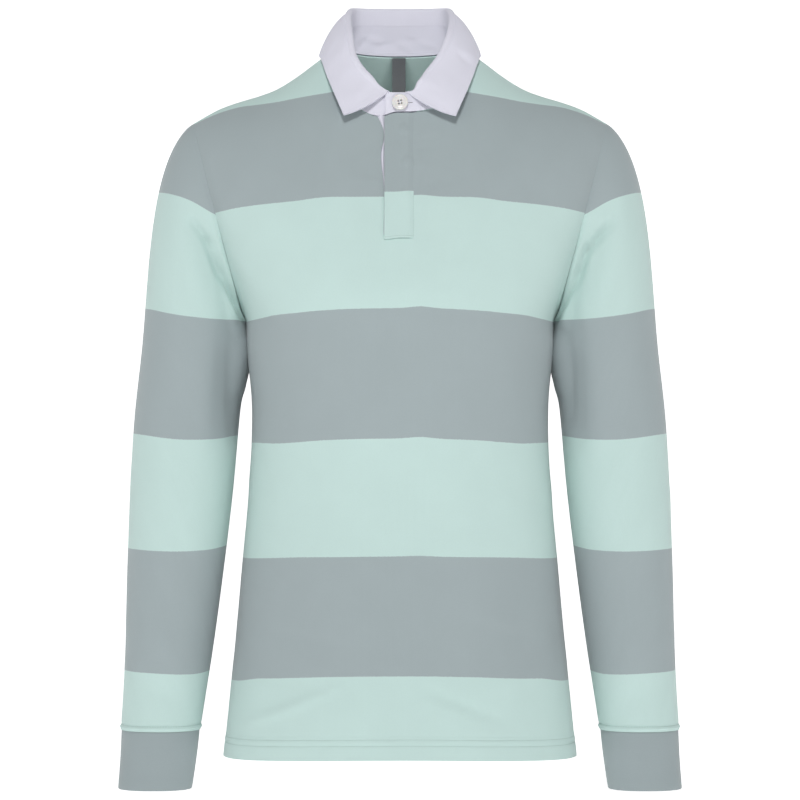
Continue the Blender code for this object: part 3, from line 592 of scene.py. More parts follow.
# %% Shape of the sewn body panels
WALL = 0.0014
SEAM_GAP = 0.0003
SEAM_SINK = 0.0007
SEAM_REACH = 0.0035
HEM_DEPTH = 0.0205
HEM_THICK = 0.0006
HEM_STEP = 0.003
HEM_ROWS = (0.0140, 0.0202)
GROOVE = 0.0006
GROOVE_WIDTH = 0.0011
SEAM_CALM = 0.012
NECK_CALM = 0.020


def path_length(points, axis):
    """Distance along the rows or the columns of a grid, from its start."""
    steps = np.linalg.norm(np.diff(points, axis=axis), axis=-1)
    length = np.cumsum(steps, axis=axis)
    first = np.zeros_like(np.take(length, [0], axis=axis))
    return np.concatenate((first, length), axis=axis)


def sew_panel(points, face):
    """The panel's outer points with its folds, hem and seams, and normals."""
    normals = grid_normals(points, flip=(face == BACK))
    lift = fold_lift(points, np.full(points.shape[:2], face), BODY_FOLDS)
    rise = path_length(points, 0)
    lift += HEM_THICK * (1 - ease((rise - HEM_DEPTH) / HEM_STEP))
    for row in HEM_ROWS:
        lift -= GROOVE * np.exp(-((rise - row) / GROOVE_WIDTH) ** 2)
    reach = path_length(points, 1)
    edge = np.minimum(reach, reach[:, -1:] - reach)
    down = rise[-1:] - rise
    columns = np.arange(points.shape[1])
    open_neck = (columns >= SHOULDER_CELLS) & (columns < points.shape[1] - SHOULDER_CELLS)
    edge = np.minimum(edge, np.where(open_neck[None, :], 1.0, down))
    lift -= SEAM_SINK * np.exp(-(edge / SEAM_REACH) ** 2)
    fade = np.where(open_neck[None, :], ease(down / NECK_CALM), 1.0)
    side_fade = ease(edge / SEAM_CALM)
    lift = np.where(edge < SEAM_CALM, lift * side_fade - SEAM_SINK * (1 - side_fade), lift)
    points = points + normals * (lift * fade)[..., None]
    normals = grid_normals(points, flip=(face == BACK))
    last = points.shape[0] - 1
    shoulder = list(range(SHOULDER_CELLS + 1))
    shoulder += [-1 - step for step in shoulder]
    normals[:LOW_ROWS + 1, 0, 1] = 0.0
    normals[:LOW_ROWS + 1, -1, 1] = 0.0
    normals[last, shoulder, 1] = 0.0
    return points, unit(normals)


front_points, front_normals = sew_panel(front_form, FRONT)
back_points, back_normals = sew_panel(back_form, BACK)
print("front rises", round(float(np.ptp(front_points[..., 2])), 3), "m")

# %% [markdown]
# The wide bands are knitted in, so their edges follow the rows of the knit.
# On the filled-out shirt those rows droop a little towards the sides. A table
# gives the height of each of the six band edges at a few places outwards
# from the centre. The placket drags them up by a millimetre or two beside
# it. Every corner of the cloth then gets a band number, and the finish
# changes colour where that number passes a whole one.

# %% Knitted bands
BAND_COLUMNS = ("out", "line_1", "line_2", "line_3", "line_4", "line_5", "line_6")
BODY_BANDS = (
    (0.000, -0.0360, -0.1459, -0.2546, -0.3802, -0.4942, -0.6096),
    (0.040, -0.0370, -0.1462, -0.2551, -0.3807, -0.4946, -0.6099),
    (0.080, -0.0420, -0.1471, -0.2569, -0.3824, -0.4954, -0.6112),
    (0.100, -0.0449, -0.1498, -0.2586, -0.3842, -0.4960, -0.6125),
    (0.120, -0.0481, -0.1515, -0.2603, -0.3855, -0.4970, -0.6138),
    (0.140, -0.0504, -0.1532, -0.2638, -0.3852, -0.4984, -0.6152),
    (0.160, -0.0525, -0.1554, -0.2668, -0.3852, -0.4996, -0.6195),
    (0.180, -0.0580, -0.1585, -0.2700, -0.3855, -0.5005, -0.6220),
    (0.210, -0.0700, -0.1620, -0.2740, -0.3860, -0.5010, -0.6240),
)
SLEEVE_BAND_COLUMNS = ("across", "line_1", "line_2", "line_3", "line_4", "line_5", "line_6")
SLEEVE_BANDS = (
    (-1.00, -0.0300, -0.1750, -0.2650, -0.3786, -0.4874, -0.6110),
    (-0.80, -0.0300, -0.1690, -0.2640, -0.3806, -0.4895, -0.6124),
    (-0.40, -0.0300, -0.1590, -0.2630, -0.3819, -0.4912, -0.6126),
    (0.00, -0.0300, -0.1468, -0.2610, -0.3818, -0.4917, -0.6119),
    (0.40, -0.0300, -0.1392, -0.2578, -0.3800, -0.4912, -0.6111),
    (0.80, -0.0300, -0.1350, -0.2532, -0.3772, -0.4903, -0.6105),
    (1.00, -0.0300, -0.1340, -0.2515, -0.3762, -0.4898, -0.6101),
)
BAND_STEP = 0.115
BACK_BAND_DROP = 0.014
BACK_DROP_HALF = 0.12
BACK_DROP_START = -0.14
BACK_DROP_REACH = 0.08
DRAG_LIFT = 0.0018
DRAG_X = 0.020
DRAG_WIDTH = 0.014
DRAG_START = -0.62
DRAG_REACH = 0.30
PLACKET_BAND_LIFT = 0.0042


def band_numbers(key, z, columns, rows):
    """Band number of each point: a whole number on each band's edge."""
    curves = smooth_curves(columns, rows)
    lines = np.stack([read(curves[name], key) for name in columns[1:]])
    number = 1 - (z - lines[0]) / BAND_STEP
    for count in range(len(lines) - 1):
        span = lines[count] - lines[count + 1]
        inside = 1 + count + (lines[count] - z) / span
        number = np.where(z < lines[count], inside, number)
    last = len(lines) + (lines[-1] - z) / BAND_STEP
    return np.where(z < lines[-1], last, number)


def body_bands(points, face, lift=0.0):
    """Band numbers of a body panel, or of a strip on it."""
    x = points[..., 0]
    z = points[..., 2] - lift
    if face == BACK:
        middle = 1 - ease(np.abs(x) / BACK_DROP_HALF)
        z = z + BACK_BAND_DROP * middle * ease((z - BACK_DROP_START) / BACK_DROP_REACH)
    else:
        drag = ease((z - DRAG_START) / DRAG_REACH)
        z = z - DRAG_LIFT * drag * np.exp(-((x - DRAG_X) / DRAG_WIDTH) ** 2)
    return band_numbers(np.abs(x), z, BAND_COLUMNS, BODY_BANDS)


print("band edges at the centre:", BODY_BANDS[0][1:])

# %% [markdown]
# One tool turns a grid of outer points and a grid of inner points into a
# closed wall of cloth. Each corner also gets two maps. One holds distances
# across and up the cloth in metres, which the knit and the weave follow. The
# other holds the band number and the distance from the hem.

# %% From grids to cloth
SHARP_CLOTH = math.radians(50)


def facing_quads(rows, columns, around, flip, removed):
    """Corner numbers of each cell of a grid, as row and column pairs."""
    cells = columns if around else columns - 1
    row, column = np.meshgrid(np.arange(rows - 1), np.arange(cells), indexing="ij")
    keep = np.ones(row.shape, bool)
    if removed is not None:
        keep = ~removed
    row = row[keep]
    column = column[keep]
    corners = ((row, column), (row, column + 1), (row + 1, column + 1), (row + 1, column))
    if flip:
        corners = corners[::-1]
    return corners


def cloth_wall(name, outer, inner, finish, maps, flip=False, around=False, removed=None):
    """A closed cloth wall between an outer and an inner grid of points."""
    rows, columns = outer.shape[:2]
    count = rows * columns
    corners = facing_quads(rows, columns, around, flip, removed)
    quads = np.stack([r * columns + c % columns for r, c in corners], axis=1)
    seats = np.stack([r * (columns + 1) + c for r, c in corners], axis=1)
    pairs = np.concatenate([quads[:, [k, (k + 1) % 4]] for k in range(4)])
    seat_pairs = np.concatenate([seats[:, [k, (k + 1) % 4]] for k in range(4)])
    keys = pairs[:, 0] * count + pairs[:, 1]
    backwards = pairs[:, 1] * count + pairs[:, 0]
    rim = ~np.isin(keys, backwards)
    first, second = pairs[rim].T
    first_seat, second_seat = seat_pairs[rim].T
    rims = np.stack((second, first, first + count, second + count), axis=1)
    rim_seats = np.stack((second_seat, first_seat, first_seat, second_seat), axis=1)
    faces = np.concatenate((quads, quads[:, ::-1] + count, rims))
    face_seats = np.concatenate((seats, seats[:, ::-1], rim_seats))
    used, renumbered = np.unique(faces, return_inverse=True)
    points = np.concatenate((outer.reshape(-1, 3), inner.reshape(-1, 3)))[used]
    mesh = bpy.data.meshes.new(name)
    mesh.from_pydata(points.tolist(), [], renumbered.reshape(faces.shape).tolist())
    for map_name, values in maps.items():
        layer = mesh.uv_layers.new(name=map_name)
        flat = values.reshape(-1, 2)[face_seats.reshape(-1)]
        layer.data.foreach_set("uv", flat.astype(np.float32).reshape(-1))
    mesh.shade_smooth()
    mesh.set_sharp_from_angle(angle=SHARP_CLOTH)
    mesh.materials.append(finish)
    thing = bpy.data.objects.new(name, mesh)
    bpy.context.scene.collection.objects.link(thing)
    print(name, len(mesh.polygons), "faces")
    return thing


def cloth_maps(points, bands, around=False):
    """The distance map and the band map of a grid."""
    if around:
        points = np.concatenate((points, points[:, :1]), axis=1)
        bands = np.concatenate((bands, bands[:, :1]), axis=1)
    else:
        points = np.concatenate((points, points[:, -1:]), axis=1)
        bands = np.concatenate((bands, bands[:, -1:]), axis=1)
    across = path_length(points, 1)
    across = across - across[:, across.shape[1] // 2][:, None]
    up = path_length(points, 0)
    return {
        "cloth": np.stack((across, up), axis=-1),
        "bands": np.stack((bands, up), axis=-1),
    }


print("cloth tools ready")

# %% [markdown]
# The body and the sleeves are a soft cotton jersey, so their finish is matt
# with a faint fuzz of sheen. The knit is a small bump of upright wales with
# courses across them, and a slower noise makes the cloth slightly uneven, as
# washed cotton is. The colour changes with the band number alone.

# %% Knitted cotton
MINT = (0.526, 0.684, 0.654)
GREY = (0.344, 0.402, 0.415)
CUFF_GREY = (0.312, 0.365, 0.377)
WHITE = (0.715, 0.710, 0.800)
WALE_PITCH = 0.0011
COURSE_PITCH = 0.0008
COURSE_SHARE = 0.35
KNIT_BUMP = 0.00025
KNIT_CLOUDY = {"scale": 22.0, "detail": 3.0, "swing": 0.06}
KNIT_GRAINY = {"scale": 700.0, "detail": 2.0, "swing": 0.06}
KNIT_RUMPLED = {"scale": 160.0, "depth": 3.0}
RUMPLE_DETAIL = 3.0
FUZZ_SCALE = 900.0
FUZZ_SWING = 0.006
CLOTH_SPECULAR = 0.2
SHEEN_ROUGHNESS = 0.5


def add_node(tree, kind, **settings):
    """A new shader node with its settings."""
    node = tree.nodes.new(kind)
    for name, value in settings.items():
        setattr(node, name, value)
    return node


def join_math(tree, operation, first, second=None, third=None):
    """A maths node fed by sockets or plain numbers."""
    node = add_node(tree, "ShaderNodeMath", operation=operation)
    for place, value in enumerate((first, second, third)):
        if value is None:
            continue
        if isinstance(value, (int, float)):
            node.inputs[place].default_value = value
        else:
            tree.links.new(value, node.inputs[place])
    return node.outputs[0]


def mix_colours(tree, share, first, second):
    """A colour between two colours."""
    node = add_node(tree, "ShaderNodeMix", data_type="RGBA")
    tree.links.new(share, node.inputs["Factor"])
    for socket, value in ((node.inputs[6], first), (node.inputs[7], second)):
        if isinstance(value, tuple):
            socket.default_value = (*value, 1.0)
        else:
            tree.links.new(value, socket)
    return node.outputs[2]


def cloth_finish(name, sheen, roughness):
    """A new cloth material, with its tree and its shader."""
    material = bpy.data.materials.new(name)
    material.use_nodes = True
    tree = material.node_tree
    shader = tree.nodes["Principled BSDF"]
    shader.inputs["Roughness"].default_value = roughness
    shader.inputs["Sheen Weight"].default_value = sheen
    shader.inputs["Sheen Roughness"].default_value = SHEEN_ROUGHNESS
    shader.inputs["Specular IOR Level"].default_value = CLOTH_SPECULAR
    return material, tree, shader


def read_map(tree, map_name):
    """The two numbers of one of the cloth's maps."""
    source = add_node(tree, "ShaderNodeUVMap", uv_map=map_name)
    parts = add_node(tree, "ShaderNodeSeparateXYZ")
    tree.links.new(source.outputs[0], parts.inputs[0])
    return parts.outputs[0], parts.outputs[1], source.outputs[0]


def uneven(tree, source, scale, detail):
    """Soft noise between 0 and 1 over the cloth's own map."""
    noise = add_node(tree, "ShaderNodeTexNoise")
    noise.inputs["Scale"].default_value = scale
    noise.inputs["Detail"].default_value = detail
    tree.links.new(source, noise.inputs["Vector"])
    return noise.outputs["Fac"]


def knit_height(tree, across, up, wale, course):
    """Height of a knit: upright wales with courses across them."""
    ribs = join_math(tree, "SINE", join_math(tree, "MULTIPLY", across, 2 * math.pi / wale))
    rows = join_math(tree, "SINE", join_math(tree, "MULTIPLY", up, 2 * math.pi / course))
    return join_math(tree, "MULTIPLY_ADD", rows, COURSE_SHARE, ribs)


def patchy(tree, source, scale, detail, swing):
    """Noise that swings a brightness evenly to both sides of one."""
    return join_math(
        tree, "MULTIPLY_ADD", uneven(tree, source, scale, detail), swing, 1 - swing / 2,
    )


def rumpled(tree, source, height, scale, depth):
    """A height with soft unevenness added to it."""
    soft = uneven(tree, source, scale, RUMPLE_DETAIL)
    return join_math(tree, "MULTIPLY_ADD", soft, depth, height)


def raise_surface(tree, shader, height, strength, distance):
    """Feed a height into the shader as a bump."""
    bump = add_node(tree, "ShaderNodeBump")
    bump.inputs["Strength"].default_value = strength
    bump.inputs["Distance"].default_value = distance
    tree.links.new(height, bump.inputs["Height"])
    tree.links.new(bump.outputs[0], shader.inputs["Normal"])


def knit_finish(name, plain=None, wale=WALE_PITCH, course=COURSE_PITCH, strength=0.25):
    """Cotton knit in the two band colours, or in one plain colour."""
    material, tree, shader = cloth_finish(name, sheen=0.22, roughness=0.88)
    across, up, source = read_map(tree, "cloth")
    colour = plain
    if plain is None:
        number, _, _ = read_map(tree, "bands")
        wobble = join_math(tree, "SUBTRACT", uneven(tree, source, FUZZ_SCALE, 0.0), 0.5)
        number = join_math(tree, "MULTIPLY_ADD", wobble, FUZZ_SWING, number)
        half = join_math(tree, "MULTIPLY", number, 0.5)
        past = join_math(tree, "GREATER_THAN", join_math(tree, "FRACT", half), 0.5)
        colour = mix_colours(tree, past, MINT, GREY)
    cloudy = patchy(tree, source, **KNIT_CLOUDY)
    grain = patchy(tree, source, **KNIT_GRAINY)
    shade = join_math(tree, "MULTIPLY", cloudy, grain)
    tone = add_node(tree, "ShaderNodeVectorMath", operation="SCALE")
    if isinstance(colour, tuple):
        tone.inputs[0].default_value = colour
    else:
        tree.links.new(colour, tone.inputs[0])
    tree.links.new(shade, tone.inputs["Scale"])
    tree.links.new(tone.outputs[0], shader.inputs["Base Color"])
    height = knit_height(tree, across, up, wale, course)
    height = rumpled(tree, source, height, **KNIT_RUMPLED)
    raise_surface(tree, shader, height, strength, KNIT_BUMP)
    return material


banded_knit = knit_finish("banded_knit")
grey_knit = knit_finish("grey_knit", plain=CUFF_GREY, wale=0.0009, course=0.0009)
print("knit finishes ready")

# %% [markdown]
# The collar and the facing under the placket are white woven cotton. It is
# crisper and smoother than the knit, with a plain weave of about half a
# millimetre, and it looks cool beside the green.

# %% Woven cotton
WEAVE_PITCH = 0.0006
WEAVE_BUMP = 0.0002
WEAVE_CLOUDY = {"scale": 26.0, "detail": 3.0, "swing": 0.05}
WEAVE_GRAINY = {"scale": 900.0, "detail": 2.0, "swing": 0.05}
WEAVE_RUMPLED = {"scale": 120.0, "depth": 3.5}


def weave_finish(name, colour, pitch, strength, sheen, roughness):
    """Plain woven cloth in one colour."""
    material, tree, shader = cloth_finish(name, sheen=sheen, roughness=roughness)
    across, up, source = read_map(tree, "cloth")
    cloudy = patchy(tree, source, **WEAVE_CLOUDY)
    grain = patchy(tree, source, **WEAVE_GRAINY)
    tone = add_node(tree, "ShaderNodeVectorMath", operation="SCALE")
    tone.inputs[0].default_value = colour
    tree.links.new(join_math(tree, "MULTIPLY", cloudy, grain), tone.inputs["Scale"])
    tree.links.new(tone.outputs[0], shader.inputs["Base Color"])
    warp = join_math(tree, "SINE", join_math(tree, "MULTIPLY", across, 2 * math.pi / pitch))
    weft = join_math(tree, "SINE", join_math(tree, "MULTIPLY", up, 2 * math.pi / pitch))
    height = join_math(tree, "MULTIPLY", warp, weft)
    height = rumpled(tree, source, height, **WEAVE_RUMPLED)
    raise_surface(tree, shader, height, strength, WEAVE_BUMP)
    return material


white_weave = weave_finish(
    "white_weave", WHITE, WEAVE_PITCH, strength=0.20, sheen=0.05, roughness=0.80,
)
print("woven finish ready")

# %% [markdown]
# Sewing the front and the back. The inner points lie one wall behind the
# outer ones, and the two panels keep a seam gap at the sides and shoulders.
# The slit for the placket is left out of the front.

# %% Front and back
def seam_trim(points, face):
    """Keep half a seam gap between the two panels."""
    trimmed = points.copy()
    trimmed[..., 1] = face * np.maximum(face * points[..., 1], SEAM_GAP / 2)
    return trimmed


def panel_walls(points, normals, face):
    """Outer and inner points of a body panel."""
    outer = seam_trim(points, face)
    return outer, seam_trim(outer - normals * WALL, face)


def slit_cells():
    """The cells of the front that the placket slit removes."""
    removed = np.zeros((front_points.shape[0] - 1, front_points.shape[1] - 1), bool)
    removed[LOW_ROWS + NOTCH_LOW_ROWS:, SLIT_LEFT:SLIT_LEFT + NOTCH_CELLS] = True
    return removed


front_outer, front_inner = panel_walls(front_points, front_normals, FRONT)
back_outer, back_inner = panel_walls(back_points, back_normals, BACK)
front_maps = cloth_maps(front_points, body_bands(front_points, FRONT))
back_maps = cloth_maps(back_points, body_bands(back_points, BACK))
front_cloth = cloth_wall(
    "front_cloth", front_outer, front_inner, banded_knit, front_maps, removed=slit_cells(),
)
back_cloth = cloth_wall("back_cloth", back_outer, back_inner, banded_knit, back_maps, flip=True)

# %% [markdown]
# The placket is a folded strip of the striped knit that laps over the slit
# and hides its buttons. They only show as three faint bumps. It was cut a few
# millimetres off the bands behind it, as the photo shows. The white facing
# strip lies behind the slit and bulges a little where the slit gapes.

# %% Placket and facing
PLACKET_SIDES = (-0.0152, 0.0148)
PLACKET_BOTTOM_Z = -0.1868
UNDER_SIDES = (-0.0255, 0.0160)
UNDER_BOTTOM_Z = -0.1900
STRIP_COLUMNS = 90
ROW_CLEAR = 0.3
PLACKET_TOP = -0.5
UNDER_TOP = 1.6
PLACKET_SEAM_REACH = 0.0070
PLACKET_SEAM_WALL = -0.0003
PLACKET_SEAM_SINK = 0.0006
SLIT_FOLD_RISE = 0.0021
SLIT_LEAST_HALF = 0.0001
SLIT_SHUT_HALF = 0.0004
SLIT_OPEN_REACH = 0.0007
BUMP_FLAT = 0.6
PLACKET_LIFT = SEAM_GAP + WALL
UNDER_LIFT = -WALL - SEAM_GAP * 1.7
BUMP_COLUMNS = ("x", "z", "radius", "height")
BUTTON_BUMPS = (
    (0.0040, -0.0790, 0.0056, 0.00085),
    (0.0075, -0.1115, 0.0060, 0.00075),
    (0.0055, -0.1450, 0.0056, 0.00055),
)


def along_row(row, x):
    """Points of the front at places x on one of its rows, and their facings."""
    left = min(math.floor(row), front_points.shape[0] - 2)
    share = row - left
    right = left + 1
    found = np.zeros((len(x), 3))
    facing = np.zeros((len(x), 3))
    for weight, number in ((1 - share, left), (share, right)):
        line = front_points[number]
        for axis in range(3):
            found[:, axis] += weight * np.interp(x, line[:, 0], line[:, axis])
            facing[:, axis] += weight * np.interp(x, line[:, 0], front_normals[number, :, axis])
    return found, unit(facing)


def strip_grid(sides, bottom_z, top):
    """Points and facings of a strip on the front, to some rows past the neck."""
    middle = SLIT_LEFT + NOTCH_CELLS // 2
    heights = front_points[:, middle, 2]
    numbers = np.arange(len(heights))
    bottom = float(np.interp(bottom_z, heights, numbers))
    rows = [bottom] + [n for n in numbers[:-1] if n > bottom + ROW_CLEAR] + [numbers[-1] + top]
    x = np.linspace(sides[0], sides[1], STRIP_COLUMNS + 1)
    pairs = [along_row(row, x) for row in rows]
    return np.array([p for p, _ in pairs]), np.array([f for _, f in pairs])


def button_bumps(points):
    """Faint bumps where the hidden buttons press on the placket."""
    lift = np.zeros(points.shape[:2])
    for row in BUTTON_BUMPS:
        bump = dict(zip(BUMP_COLUMNS, row))
        away = np.hypot(points[..., 0] - bump["x"], points[..., 2] - bump["z"])
        lift += bump["height"] * (1 - ease((away / bump["radius"] - BUMP_FLAT) / BUMP_FLAT))
    return lift


placket_base, placket_facing = strip_grid(PLACKET_SIDES, PLACKET_BOTTOM_Z, PLACKET_TOP)
sewn = ease((PLACKET_SIDES[1] - placket_base[..., 0]) / PLACKET_SEAM_REACH)
placket_lift = PLACKET_SEAM_WALL + (PLACKET_LIFT - PLACKET_SEAM_WALL) * sewn
placket_under = SEAM_GAP * sewn - PLACKET_SEAM_SINK * (1 - sewn)
placket_lift = placket_lift + button_bumps(placket_base)
placket_outer = placket_base + placket_facing * placket_lift[..., None]
placket_inner = placket_base + placket_facing * placket_under[..., None]
placket_numbers = body_bands(placket_base, FRONT, lift=PLACKET_BAND_LIFT)
placket_cloth = cloth_wall(
    "placket_cloth", placket_outer, placket_inner, banded_knit,
    cloth_maps(placket_outer, placket_numbers),
)
under_base, under_facing = strip_grid(UNDER_SIDES, UNDER_BOTTOM_Z, UNDER_TOP)
slit_edge = read(NOTCH["out"], under_base[..., 2])
slit_half = np.maximum((slit_edge + PLACKET_SIDES[0]) / 2, SLIT_LEAST_HALF)
slit_away = (under_base[..., 0] + slit_edge - slit_half) / slit_half
slit_fold = np.exp(-slit_away ** 2) * ease((slit_half - SLIT_SHUT_HALF) / SLIT_OPEN_REACH)
under_outer = under_base + under_facing * (UNDER_LIFT + SLIT_FOLD_RISE * slit_fold)[..., None]
under_inner = under_outer - under_facing * WALL
under_cloth = cloth_wall(
    "under_placket_cloth", under_outer, under_inner, white_weave,
    cloth_maps(under_outer, np.zeros(under_outer.shape[:2])),
)

# %% [markdown]
# The collar is two pieces. The stand is a band that rises from the neckline,
# with its two ends lapped at the front. The leaf is sewn to the top of the
# stand, rises a little, rolls over and falls outwards to its edge. A table
# gives the top of the stand and the edge of the leaf at a few angles round
# the neck, and a rounded profile joins them.

# %% Collar stand
COLLAR_COLUMNS = (
    "angle", "top_x", "top_y", "top_z", "rise", "lean", "radius",
    "edge_x", "edge_y", "edge_z", "flare", "slouch",
)
COLLAR_STATIONS = (
    (0.0, 0.0000, -0.0585, -0.0412, 0.0034, 0.0010, 0.0026, 0.0530, -0.0785, -0.0660, 0.0, 0.0000),
    (4.5, 0.0100, -0.0583, -0.0411, 0.0036, 0.0010, 0.0026, 0.0545, -0.0780, -0.0645, 0.0, 0.0004),
    (12.0, 0.0198, -0.0555, -0.0358, 0.0060, 0.0010, 0.0027, 0.0568, -0.0752, -0.0597, 0.0, 0.0024),
    (25.0, 0.0300, -0.0500, -0.0290, 0.0080, 0.0010, 0.0028, 0.0612, -0.0690, -0.0495, 0.0, 0.0062),
    (50.0, 0.0440, -0.0375, -0.0140, 0.0130, 0.0010, 0.0030, 0.0708, -0.0480, -0.0270, 0.3, 0.0056),
    (75.0, 0.0480, -0.0170, 0.0085, 0.0155, 0.0020, 0.0034, 0.0780, -0.0210, -0.0060, 0.9, 0.0006),
    (95.0, 0.0490, 0.0050, 0.0245, 0.0170, 0.0032, 0.0035, 0.0812, 0.0060, 0.0025, 1.0, 0.0000),
    (115.0, 0.0480, 0.0240, 0.0330, 0.0180, 0.0026, 0.0035, 0.0800, 0.0360, 0.0025, 1.0, 0.0000),
    (135.0, 0.0420, 0.0385, 0.0358, 0.0180, 0.0030, 0.0035, 0.0660, 0.0640, -0.0010, 0.7, 0.0000),
    (155.0, 0.0280, 0.0455, 0.0362, 0.0180, 0.0030, 0.0035, 0.0380, 0.0800, -0.0040, 0.5, 0.0000),
    (180.0, 0.0000, 0.0475, 0.0362, 0.0180, 0.0030, 0.0035, 0.0000, 0.0850, -0.0050, 0.5, 0.0000),
)
COLLAR = smooth_curves(COLLAR_COLUMNS, COLLAR_STATIONS)
BAND_ROWS = 12
UNDERLAP_END = 0.0140
OVERLAP_END = -0.0145
LEAF_END_LEFT = -0.0105
BAND_SEAT = 0.0009
LEAF_SEAT = 0.0001
UNDERLAP_DROP = 0.0010
OVERLAP_LIFT = 0.00155
UNDERLAP_LIFT = -0.00025
OVERLAP_FADE = (18.0, 47.0)
STAND_HOLD = 5
LAP_CELLS = 10
SIDE_CELLS = 44
BACK_CELLS = 40
STAND_CREASES = (
    (BACK, -0.0370, 0.0250, -0.0200, 0.0195, 0.0022, -0.0014),
    (BACK, -0.0240, 0.0160, -0.0060, 0.0185, 0.0024, 0.0013),
    (BACK, -0.0010, 0.0200, 0.0120, 0.0105, 0.0022, -0.0018),
    (BACK, 0.0050, 0.0230, 0.0200, 0.0200, 0.0020, 0.0014),
    (BACK, 0.0160, 0.0205, 0.0360, 0.0150, 0.0024, -0.0014),
    (BACK, -0.0440, 0.0100, -0.0300, 0.0280, 0.0034, 0.0013),
    (FRONT, 0.0120, -0.0480, 0.0240, -0.0460, 0.0030, 0.0005),
    (FRONT, -0.0280, -0.0520, -0.0180, -0.0440, 0.0030, 0.0006),
)


def collar_value(name, angle):
    """One size of the collar at an angle, the same on both sides."""
    return float(read(COLLAR[name], abs(angle)))


def collar_place(kind, angle):
    """The band's top or the leaf's edge at an angle."""
    x = math.copysign(1, angle) * collar_value(kind + "_x", angle)
    return np.array((x, collar_value(kind + "_y", angle), collar_value(kind + "_z", angle)))


def stand_stations():
    """Angle and lift of each station of the stand, from underlap to overlap."""
    stations = []
    for x in np.linspace(UNDERLAP_END, OVERLAP_END, LAP_CELLS + 1):
        stations.append((neck_angle(x), UNDERLAP_LIFT))
    first = abs(neck_angle(NOTCH_TOP_LEFT))
    for angle in np.linspace(first, 90, SIDE_CELLS + 1):
        stations.append((-angle, 0.0))
    for angle in np.linspace(90, 180, BACK_CELLS + 1)[1:]:
        stations.append((-angle, 0.0))
    for angle in np.linspace(180, 90, BACK_CELLS + 1)[1:]:
        stations.append((angle, 0.0))
    last = neck_angle(NOTCH_RIGHT)
    for angle in np.linspace(90, last, SIDE_CELLS + 1)[1:]:
        share = float(ease((OVERLAP_FADE[1] - angle) / (OVERLAP_FADE[1] - OVERLAP_FADE[0])))
        stations.append((angle, OVERLAP_LIFT * share))
    for x in np.linspace(NOTCH_RIGHT, OVERLAP_END, LAP_CELLS + 1)[1:]:
        stations.append((neck_angle(x), OVERLAP_LIFT))
    return stations


def stand_grid(stations):
    """Outer points and normals of the stand, bottom row first."""
    outer = []
    for angle, lift in stations:
        edge = neckline(angle)
        top = collar_place("top", angle)
        top[2] -= UNDERLAP_DROP if lift < 0 else 0.0
        low = edge + unit(top - edge) * BAND_SEAT
        outer.append([low + (top - low) * s for s in np.linspace(0, 1, BAND_ROWS + 1)])
    outer = np.array(outer).transpose(1, 0, 2)
    normals = grid_normals(outer)
    facing = outer[0] * (1, 1, 0)
    turned = np.sign(np.sum(normals * facing, axis=2, keepdims=True))
    normals = normals * turned
    normals[0, :, 2] = 0.0
    normals = unit(normals)
    lifts = np.array([lift for _, lift in stations])
    outer = outer + normals * lifts[None, :, None]
    facings = np.where(outer[..., 1] < 0, FRONT, BACK)
    creases = fold_lift(outer, facings, STAND_CREASES)
    climb = np.linspace(0, 1, BAND_ROWS + 1)
    held = ease(climb * STAND_HOLD) * ease((1 - climb) * STAND_HOLD)
    outer = outer + normals * (creases * held[:, None])[..., None]
    return outer, normals, float(turned[0, 5, 0])


stations = stand_stations()
stand_outer, stand_normals, stand_turned = stand_grid(stations)
stand_cloth = cloth_wall(
    "collar_stand_cloth", stand_outer, stand_outer - stand_normals * WALL, white_weave,
    cloth_maps(stand_outer, np.zeros(stand_outer.shape[:2])), flip=(stand_turned < 0),
)

# %% [markdown]
# The leaf has two layers of cloth with a turned edge, so it is thicker than
# the stand and keeps a soft roll. Its profile has three parts: the rise on
# the inside, half a turn over the roll, and the fall to the edge. The two
# front ends run straight out to the collar tips, and their top corners are
# pressed flat. On the viewer's right the roll leans in over the neck.

